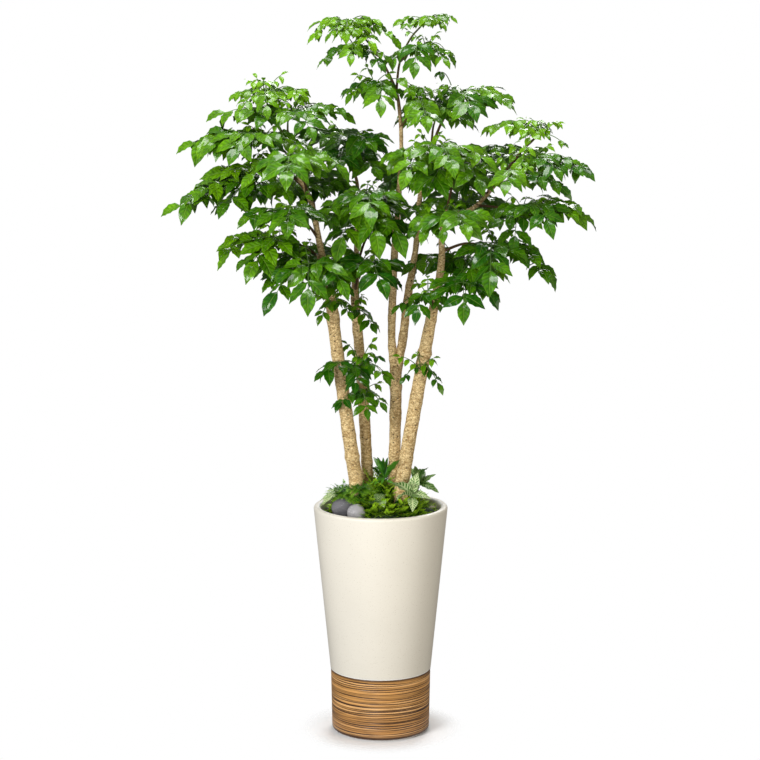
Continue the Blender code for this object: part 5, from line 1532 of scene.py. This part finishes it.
def make_low_plant(name, slot, paint):
    """A low plant: its crown on a stem, with the leaves that the photo shows and some behind."""
    crown, width, more, tips = LOW_PLANTS[name]
    rng = random.Random(name)
    crowns = [(Vector(crown), [Vector(tip) for tip in tips])]
    for k in range(more):
        heading = math.radians(30 + 120 * (k + 0.5) / more + rng.uniform(-12, 12))
        lift = math.radians(rng.uniform(15, 60))
        reach = 0.85 * (crowns[0][1][k] - crowns[0][0]).length
        crowns[0][1].append(crowns[0][0] + reach * Vector((
            math.cos(heading) * math.cos(lift), math.sin(heading) * math.cos(lift),
            math.sin(lift))))
    if name == "dark_plant":
        place, count, reach = BACK_WHORL
        tips = []
        for k in range(count):
            heading = k * GOLDEN_ANGLE
            lift = math.radians(10 + 60 * k / count)
            tips.append(Vector(place) + reach * Vector((
                math.cos(heading) * math.cos(lift), math.sin(heading) * math.cos(lift),
                math.sin(lift))))
        crowns.append((Vector(place), tips))
    outline = LEAF_OUTLINE if width > LANCE_WIDTH else LANCE_OUTLINE
    forms = [model_leaf(f"{name}_form_{k}", outline, width, form)
             for k, form in enumerate(LOW_FORMS)]
    bundle = Bundle()
    stems = []
    for top, tips in crowns:
        for k, tip in enumerate(tips):
            form = k % len(forms)
            root = top - UP * 0.004 * (k % 3)
            bundle.add(forms[form], reach_pose(root, tip, form, rng.uniform(-14, 14)).matrix(),
                       rng.random())
        foot = Vector((top.x, top.y + 0.006, SOIL_TOP - 0.006))
        stems.append([(*foot, LOW_STEM * 1.3), (*foot.lerp(top, 0.6), LOW_STEM * 1.1),
                      (*top, LOW_STEM * 0.8)])
    leaves = bundle.finish(name + "_leaves")
    leaves.data.materials.append(paint)
    stem = tube_object(name + "_stem", stems, 2)
    stem.data.materials.append(bpy.data.materials["low_stem"])
    piece = join_all([leaves, stem], "leaves_" + name)
    for form in forms:
        bpy.data.objects.remove(form)
    return dress(piece, slot, [name])


def model_tiny_leaf():
    """A leaf of four faces, one metre long along +Y, with a ridge along its middle."""
    bpy.ops.object.select_all(action="DESELECT")
    bpy.ops.mesh.primitive_cone_add(vertices=3, radius1=1.0, radius2=0.0, depth=1.0)
    leaf = bpy.context.object
    leaf.name = "tiny_leaf"
    with editing(leaf):
        pick(lambda co: co.z > 0)
        bpy.ops.transform.translate(value=(0, 0, -0.5))
        pick(lambda co: co.y > 0.5)
        bpy.ops.transform.translate(value=(0, 0, 0.5))
        pick(lambda co: co.y < -0.2)
        bpy.ops.transform.resize(value=(0.30, 1, 1), center_override=(0, 0, 0))
        bpy.ops.transform.translate(value=(0, 0.92, 0.42))
    store(leaf.data, "tone", [0.0] * len(leaf.data.vertices))
    return leaf


def model_sprig(name, leaf, pairs, sag):
    """A feathery sprig one metre long along +Y: a rib with pairs of tiny leaves."""
    rng = random.Random(name)
    place = lambda s: Vector((0.04 * math.sin(4 * s), 0.80 * s, -sag * s * s))
    bundle = Bundle()
    for k in range(pairs):
        share = 0.16 + 0.76 * k / (pairs - 1)
        tangent = (place(share + 0.02) - place(share - 0.02)).normalized()
        side = tangent.cross(UP).normalized()
        size = 0.29 * (1.08 - 0.55 * share)
        for turn in (1, -1):
            pose = side_pose(place(share), tangent, side * turn, rng.uniform(-8, 24), 56,
                             size * rng.uniform(0.85, 1.15), 20)
            bundle.add(leaf, pose.matrix(), share)
    ahead = (place(1.0) - place(0.9)).normalized()
    bundle.add(leaf, end_pose(place(0.98), ahead, 4, 0.22, 20).matrix(), 1.0)
    leaves = bundle.finish(name + "_leaves")
    rib = tube_object(name + "_rib", [[(*place(k / 2), 0.020 - 0.006 * k) for k in range(3)]], 0)
    sprig = join_all([leaves, rib], name)
    store(sprig.data, "young", [min(1.0, max(0.0, v.co.y)) for v in sprig.data.vertices])
    return sprig


def make_fern(sprigs, paint, pale):
    """A feathery plant whose fronds carry sprigs in pairs, with pale strands at its edge."""
    rng = random.Random("fern")
    bundle = Bundle()
    lines = []
    for crown, count, length in FERN:
        crown = Vector(crown)
        lines.append([(crown.x, crown.y, SOIL_TOP - 0.006, 0.0034), (*crown, 0.0026)])
        for k in range(count):
            share = k / (count - 1)
            heading = k * GOLDEN_ANGLE + rng.uniform(-0.2, 0.2)
            flat = Vector((math.cos(heading), math.sin(heading), 0.0))
            reach = length * (1 - 0.12 * share) * rng.uniform(0.88, 1.05)
            if flat.x < -0.3:
                reach *= 0.86
            lift = math.radians(26 + 44 * share)
            way = flat * math.cos(lift) + UP * math.sin(lift)
            place = lambda s: crown + way * reach * s - UP * 0.34 * reach * s * s
            lines.append([(*place(s / 6), 0.0009 - 0.0001 * s) for s in range(7)])
            tone = rng.random()
            for step in range(2, 11):
                s = step / 11
                tangent = (place(s + 0.02) - place(s - 0.02)).normalized()
                side = tangent.cross(UP).normalized()
                size = 0.52 * reach * math.sin(math.pi * (0.20 + 0.72 * s))
                for turn in (1, -1):
                    pose = side_pose(place(s), tangent, side * turn, rng.uniform(0, 24), 60,
                                     size, 14)
                    bundle.add(rng.choice(sprigs), pose.matrix(), 0.6 * tone + 0.4 * rng.random())
            bundle.add(sprigs[0], end_pose(place(0.9), way, 30, 0.3 * reach, 14).matrix(), tone)
    leaves = bundle.finish("fern_leaves")
    leaves.data.materials.append(paint)
    stems = tube_object("fern_stems", lines, 1)
    stems.data.materials.append(bpy.data.materials["low_stem"])
    strand = model_leaf("strand", LEAF_OUTLINE, 0.22, LOW_FORMS[1])
    strands = Bundle()
    for k, tip in enumerate(STRANDS):
        root = Vector(FERN[0][0]) + Vector((-0.008, -0.004 * k, 0.014))
        strands.add(strand, reach_pose(root, Vector(tip), 1, 0.0).matrix(), 0.2 * rng.random())
    bpy.data.objects.remove(strand)
    pale_leaves = strands.finish("fern_strands")
    pale_leaves.data.materials.append(pale)
    return dress(join_all([leaves, stems, pale_leaves], "leaves_fern"), "fern", ["fern"])


def cane_feet():
    """Where the canes leave the soil: the places and the radii."""
    feet = []
    for limbs in CANES.values():
        trunk = next(iter(limbs.values()))
        low, high = Vector(trunk[0]), Vector(trunk[1])
        foot = low.lerp(high, (SOIL_TOP + 0.02 - low.z) / (high.z - low.z))
        feet.append((foot.xy, foot.w))
    return feet


def plan_sprigs(ground):
    """Sprigs and the stalks that carry them, by the mound that each one is nearest to. They
    stand tall round the canes and lean out to the rim."""
    rng = random.Random("sprigs")
    kept_out = [(foot, radius + 0.002) for foot, radius in cane_feet()]
    kept_out += [(Vector(spec[:2]), 1.02 * max(spec[2][:2])) for spec in PEBBLES.values()]
    kept_out += [(Vector((spec[0], spec[1] - PEBBLE_CLEAR[0])), PEBBLE_CLEAR[1])
                 for spec in PEBBLES.values() if spec[1] < 0]
    kept_out.append((Vector(SMALL_CLEAR[:2]), SMALL_CLEAR[2]))
    planned = {name: ([], []) for name in MOUNDS}
    for k in range(ground.sprigs):
        reach = SPRIG_EDGE * math.sqrt((k + 0.5) / ground.sprigs)
        turn = k * GOLDEN_ANGLE
        spot = Vector((reach * math.cos(turn), reach * math.sin(turn)))
        spot += Vector((rng.uniform(-0.004, 0.004), rng.uniform(-0.004, 0.004)))
        if spot.length > SPRIG_EDGE or any((spot - place).length < room
                                           for place, room in kept_out):
            continue
        out = spot.length / SPRIG_EDGE
        nearest = min(MOUNDS, key=lambda name: (spot - Vector(MOUNDS[name][:2])).length)
        sprigs, stalks = planned[nearest]
        foot = Vector((*spot, SOIL_TOP - 0.002))
        rise = SPRIG_RISE * (1 - out * out) ** 2 * rng.uniform(0.60, 1.10)
        levels = 2 + round(rise / 0.016)
        for level in range(levels):
            share = level / (levels - 1)
            heading = math.atan2(spot.y, spot.x) + rng.uniform(-1.7, 1.7)
            lift = math.radians(20 + 44 * share * (1 - 0.45 * out * out) + rng.uniform(-10, 12))
            tall, short = SPRIG_LENGTH
            length = (tall + (short - tall) * out * out) * rng.uniform(0.72, 1.10)
            way = Vector((math.cos(heading) * math.cos(lift), math.sin(heading) * math.cos(lift),
                          math.sin(lift)))
            sprigs.append((foot + UP * (0.004 + rise * share), way, length, rng.random(),
                           rng.randrange(len(SPRIG_FORMS))))
        stalks.append([(*foot, STALK), (*(foot + UP * (0.006 + rise)), 0.7 * STALK)])
    return planned


def make_mound(name, planned, sprigs, shaded_core_paint, paint):
    """A mound of ground cover: feathery sprigs over a core painted dark as the shade between them.
    """
    x, y, half_x, half_y, height = MOUNDS[name]
    bpy.ops.object.select_all(action="DESELECT")
    bpy.ops.mesh.primitive_uv_sphere_add(segments=24, ring_count=12, radius=1.0)
    core = bpy.context.object
    with editing(core):
        bpy.ops.mesh.select_all(action="SELECT")
        bpy.ops.mesh.bisect(plane_co=(0, 0, 0), plane_no=(0, 0, 1), use_fill=True,
                            clear_inner=True)
        bpy.ops.mesh.select_all(action="SELECT")
        bpy.ops.transform.resize(value=(half_x, half_y, height * 0.72), center_override=(0, 0, 0))
        bpy.ops.transform.translate(value=(x, y, SOIL_TOP + GAP))
    core.data.materials.append(shaded_core_paint)
    bundle = Bundle()
    ways, stalks = planned
    for root, way, length, tone, form in ways:
        across = way.cross(UP).normalized()
        bundle.add(sprigs[form], Pose(root, way, across, length, 0.5).matrix(), tone)
    leaves = bundle.finish(name + "_leaves")
    leaves.data.materials.append(paint)
    stems = tube_object(name + "_stalks", stalks, 0)
    stems.data.materials.append(bpy.data.materials["low_stem"])
    return dress(join_all([leaves, stems, core], "cover_" + name), "moss", [name])


def make_pebble(name, paint):
    """A smooth, slightly uneven stone that lies on its flat."""
    x, y, sizes, turn = PEBBLES[name]
    bpy.ops.object.select_all(action="DESELECT")
    bpy.ops.mesh.primitive_ico_sphere_add(subdivisions=5, radius=1.0)
    stone = bpy.context.object
    stone.name = "stone_" + name
    rng = random.Random(name)
    lean = Vector((rng.uniform(-1, 1), rng.uniform(-1, 1), rng.uniform(-1, 1)))
    spin = Quaternion(UP, math.radians(turn))
    for vertex in stone.data.vertices:
        spot = vertex.co * (1 + 0.06 * vertex.co.dot(lean) + 0.02 * math.sin(5 * vertex.co.x))
        spot.z = max(spot.z, -PEBBLE_FLAT)
        spot = spin @ Vector((spot.x * sizes[0], spot.y * sizes[1], spot.z * sizes[2]))
        vertex.co = spot + Vector((x, y, SOIL_TOP + GAP + PEBBLE_FLAT * sizes[2]))
    take(stone)
    bpy.ops.object.shade_smooth()
    return dress(stone, name, [name], paint)


def make_soil(ground):
    """The soil keeps its solid and gets a coat of bark chips."""
    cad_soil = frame["nodes"]["soil"]
    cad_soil.data.materials.clear()
    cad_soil.data.materials.append(soil_paint(ground, "soil_fine", 0.8))
    rng = random.Random("chips")
    chips = []
    for k in range(4):
        bpy.ops.object.select_all(action="DESELECT")
        bpy.ops.mesh.primitive_cube_add(size=1.0)
        chip = bpy.context.object
        with editing(chip):
            bpy.ops.mesh.select_all(action="SELECT")
            bpy.ops.mesh.subdivide(number_cuts=1)
            bpy.ops.transform.resize(value=(1.0, 0.62, 0.26), center_override=(0, 0, 0))
            bpy.ops.transform.vertex_random(offset=0.16, seed=k)
        store(chip.data, "tone", [0.0] * len(chip.data.vertices))
        chips.append(chip)
    bundle = Bundle()
    inner = RIM_RADIUS - RIM_WALL - 0.008
    taken = [(Vector(limbs[next(iter(limbs))][1][:2]), 0.018) for limbs in CANES.values()]
    taken += [(Vector(spec[:2]), 0.8 * max(spec[2])) for spec in PEBBLES.values()]
    for _ in range(ground.chips):
        size = rng.uniform(0.004, 0.0105)
        reach = inner * math.sqrt(rng.random()) - 0.4 * size
        turn = rng.uniform(0, 2 * math.pi)
        spot = Vector((reach * math.cos(turn), reach * math.sin(turn), SOIL_TOP))
        if any((spot.xy - place).length < room + 0.4 * size for place, room in taken):
            continue
        spot.z += 0.13 * size + rng.uniform(0.0, 0.0030)
        tilt = Matrix.Rotation(rng.uniform(-0.35, 0.35), 4, "X") @ Matrix.Rotation(
            rng.uniform(-0.35, 0.35), 4, "Y")
        matrix = Matrix.Translation(spot) @ Matrix.Rotation(rng.uniform(0, 6.28), 4, "Z") @ tilt
        bundle.add(rng.choice(chips), matrix @ Matrix.Scale(size, 4), rng.random())
    coat = bundle.finish("bark_chips")
    for chip in chips:
        bpy.data.objects.remove(chip)
    return dress(coat, "soil_bark", [], soil_paint(ground, "soil_chips", 1.5))


class PLANT_OT_pot(bpy.types.Operator):
    """Make the cream wall and the grooved wood foot of the pot"""

    bl_idname = "plant.pot"
    bl_label = "Pot"

    def execute(self, context):
        make_wall(context.scene.plant_pot)
        make_foot(context.scene.plant_pot)
        return {"FINISHED"}


class PLANT_OT_soil(bpy.types.Operator):
    """Finish the soil and lay bark chips on it"""

    bl_idname = "plant.soil"
    bl_label = "Soil"

    def execute(self, context):
        make_soil(context.scene.plant_ground)
        return {"FINISHED"}


class PLANT_OT_pebbles(bpy.types.Operator):
    """Make the three pebbles"""

    bl_idname = "plant.pebbles"
    bl_label = "Pebbles"

    def execute(self, context):
        make_pebble("pebble_dark", pebble_paint("stone_dark", (0.150, 0.146, 0.158),
                                                (0.34, 0.33, 0.36)))
        make_pebble("pebble_grey", pebble_paint("stone_grey", (0.36, 0.35, 0.36),
                                                (0.70, 0.69, 0.69)))
        make_pebble("pebble_beige", pebble_paint("stone_beige", (0.60, 0.49, 0.37),
                                                 (0.78, 0.70, 0.58)))
        return {"FINISHED"}


class PLANT_OT_low_plants(bpy.types.Operator):
    """Make the ground cover, the fern and the rosettes"""

    bl_idname = "plant.low_plants"
    bl_label = "Low plants"

    def execute(self, context):
        ground = context.scene.plant_ground
        cream = tuple(ground.cream)
        plain_leaf_paint("low_stem", (0.03, 0.07, 0.012), (0.09, 0.17, 0.03), 0.6)
        tiny = model_tiny_leaf()
        sprigs = [model_sprig(f"sprig_{k}", tiny, pairs, sag)
                  for k, (pairs, sag) in enumerate(SPRIG_FORMS)]
        moss = sprig_paint("moss_leaf", (0.010, 0.062, 0.001), tuple(ground.moss))
        # The mounds' core is painted nearly black, as the shade in the gaps between the sprigs.
        core = plain_leaf_paint("moss_core", (0.006, 0.022, 0.002), (0.016, 0.055, 0.005), 0.9)
        planned = plan_sprigs(ground)
        for name in MOUNDS:
            make_mound(name, planned[name], sprigs, core, moss)
        pale = variegated_paint("pale_strand", (0.66, 0.74, 0.42), (0.20, 0.40, 0.08))
        make_fern(sprigs, sprig_paint("fern_leaf", (0.040, 0.200, 0.004), (0.360, 0.660, 0.050)),
                  pale)
        for shape in (tiny, *sprigs):
            bpy.data.objects.remove(shape)
        front = variegated_paint("cream_leaf", cream, (0.075, 0.230, 0.025))
        right = variegated_paint("striped_leaf", (0.360, 0.540, 0.180), (0.035, 0.170, 0.015))
        dark = plain_leaf_paint("dark_leaf", (0.010, 0.092, 0.004), (0.085, 0.290, 0.020), 0.34)
        make_low_plant("rosette_front", "variegated", front)
        make_low_plant("rosette_right", "variegated", right)
        make_low_plant("small_variegated", "variegated", front)
        make_low_plant("dark_plant", "dark_leaf", dark)
        return {"FINISHED"}


class PLANT_OT_canes(bpy.types.Operator):
    """Make the four canes and their twigs"""

    bl_idname = "plant.canes"
    bl_label = "Canes"

    def execute(self, context):
        cane = context.scene.plant_canes
        bark = bark_paint(cane)
        relief = bpy.data.textures.new("cane_relief", "CLOUDS")
        relief.noise_scale = 0.020
        relief.noise_depth = 3
        for name in CANES:
            make_cane(name, cane, bark, relief)
        return {"FINISHED"}


class PLANT_OT_shoots(bpy.types.Operator):
    """Make the leafy shoots"""

    bl_idname = "plant.shoots"
    bl_label = "Leafy shoots"

    def execute(self, context):
        make_shoots(context.scene.plant_leaves)
        return {"FINISHED"}


def make_world(strength):
    """Even white surroundings, which the camera sees as pure white."""
    world = bpy.data.worlds.new("studio")
    world.use_nodes = True
    tree = world.node_tree
    tree.nodes["Background"].inputs["Color"].default_value = (1.0, 1.0, 1.0, 1.0)
    path = tree.nodes.new("ShaderNodeLightPath")
    level = tree.nodes.new("ShaderNodeMapRange")
    level.inputs["To Min"].default_value = strength
    level.inputs["To Max"].default_value = 1.0
    tree.links.new(path.outputs["Is Camera Ray"], level.inputs["Value"])
    tree.links.new(level.outputs["Result"], tree.nodes["Background"].inputs["Strength"])
    return world


def add_light(name, place, aim, size, power, tint=(1.0, 1.0, 1.0)):
    """A soft square light that looks at a point."""
    data = bpy.data.lights.new(name, "AREA")
    data.size = size
    data.energy = power
    data.color = tint
    light = bpy.data.objects.new(name, data)
    light.location = place
    light.rotation_euler = (Vector(aim) - Vector(place)).to_track_quat("-Z", "Y").to_euler()
    bpy.context.scene.collection.objects.link(light)


class PLANT_OT_stage(bpy.types.Operator):
    """Set the floor, the lights and the camera"""

    bl_idname = "plant.stage"
    bl_label = "Stage"

    def execute(self, context):
        scene, stage = context.scene, context.scene.plant_stage
        scene.view_settings.view_transform = "Standard"
        bpy.ops.object.select_all(action="DESELECT")
        bpy.ops.mesh.primitive_circle_add(vertices=96, radius=FLOOR_REACH[1], fill_type="NGON",
                                          location=(0, 0, -0.0002))
        floor = settle(context.object)
        floor.name = "floor"
        paint = Paint("floor_white", roughness=0.9, specular_ior_level=0.0)
        paint.set("Base Color", (0.96, 0.96, 0.96, 1.0))
        spot = paint.node("ShaderNodeVectorMath", {"operation": "LENGTH"}, {0: paint.place()})
        away = Number(paint, spot.outputs["Value"])
        paint.set("Alpha", 1.0 - away.step(*FLOOR_REACH))
        floor.data.materials.append(paint.material)
        scene.world = make_world(stage.sky)
        add_light("key", (-2.9, -3.6, 2.8), (0, 0, 0.9), 1.8, stage.key)
        add_light("fill", (3.4, -2.2, 1.2), (0, 0, 0.7), 2.4, stage.fill, (1.0, 0.92, 0.78))
        add_light("front", (-1.2, -5.2, 0.7), (0, 0, 0.8), 1.6, stage.front)
        add_light("top", (-0.3, -0.2, 4.4), (0, 0, 1.1), 1.4, stage.top)
        add_light("back", (0.6, 3.2, 3.2), (0, 0, 1.3), 1.8, stage.back)
        sizes = stage_sizes()
        data = bpy.data.cameras.new("camera")
        data.lens = sizes["lens"]
        data.sensor_width = 36.0
        camera = bpy.data.objects.new("camera", data)
        camera.location = sizes["eye"]
        camera.rotation_euler = (math.radians(90 - sizes["pitch"]), 0.0, 0.0)
        scene.collection.objects.link(camera)
        scene.camera = camera
        return {"FINISHED"}


OPERATORS = (PLANT_OT_stage, PLANT_OT_pot, PLANT_OT_soil, PLANT_OT_pebbles, PLANT_OT_low_plants,
             PLANT_OT_canes, PLANT_OT_shoots)


class PLANT_PT_panel(bpy.types.Panel):
    """The plant's pieces and their settings"""

    bl_idname = "PLANT_PT_panel"
    bl_label = "Potted plant"
    bl_space_type = "VIEW_3D"
    bl_region_type = "UI"
    bl_category = "Plant"

    def draw(self, context):
        for operator in OPERATORS:
            self.layout.operator(operator.bl_idname)
        for name, group in SETTINGS.items():
            box = self.layout.box()
            for setting in group.__annotations__:
                box.prop(getattr(context.scene, name), setting)


CLASSES = (*SETTINGS.values(), *OPERATORS, PLANT_PT_panel)


def register():
    """Add the settings, the operators and the panel."""
    for found in CLASSES:
        bpy.utils.register_class(found)
    for name, group in SETTINGS.items():
        setattr(bpy.types.Scene, name, PointerProperty(type=group))


def unregister():
    """Remove them again."""
    for name in SETTINGS:
        delattr(bpy.types.Scene, name)
    for found in reversed(CLASSES):
        bpy.utils.unregister_class(found)


def main():
    """Make every piece."""
    register()
    for operator in OPERATORS:
        group, name = operator.bl_idname.split(".")
        getattr(getattr(bpy.ops, group), name)()


if __name__ == "__main__":
    main()
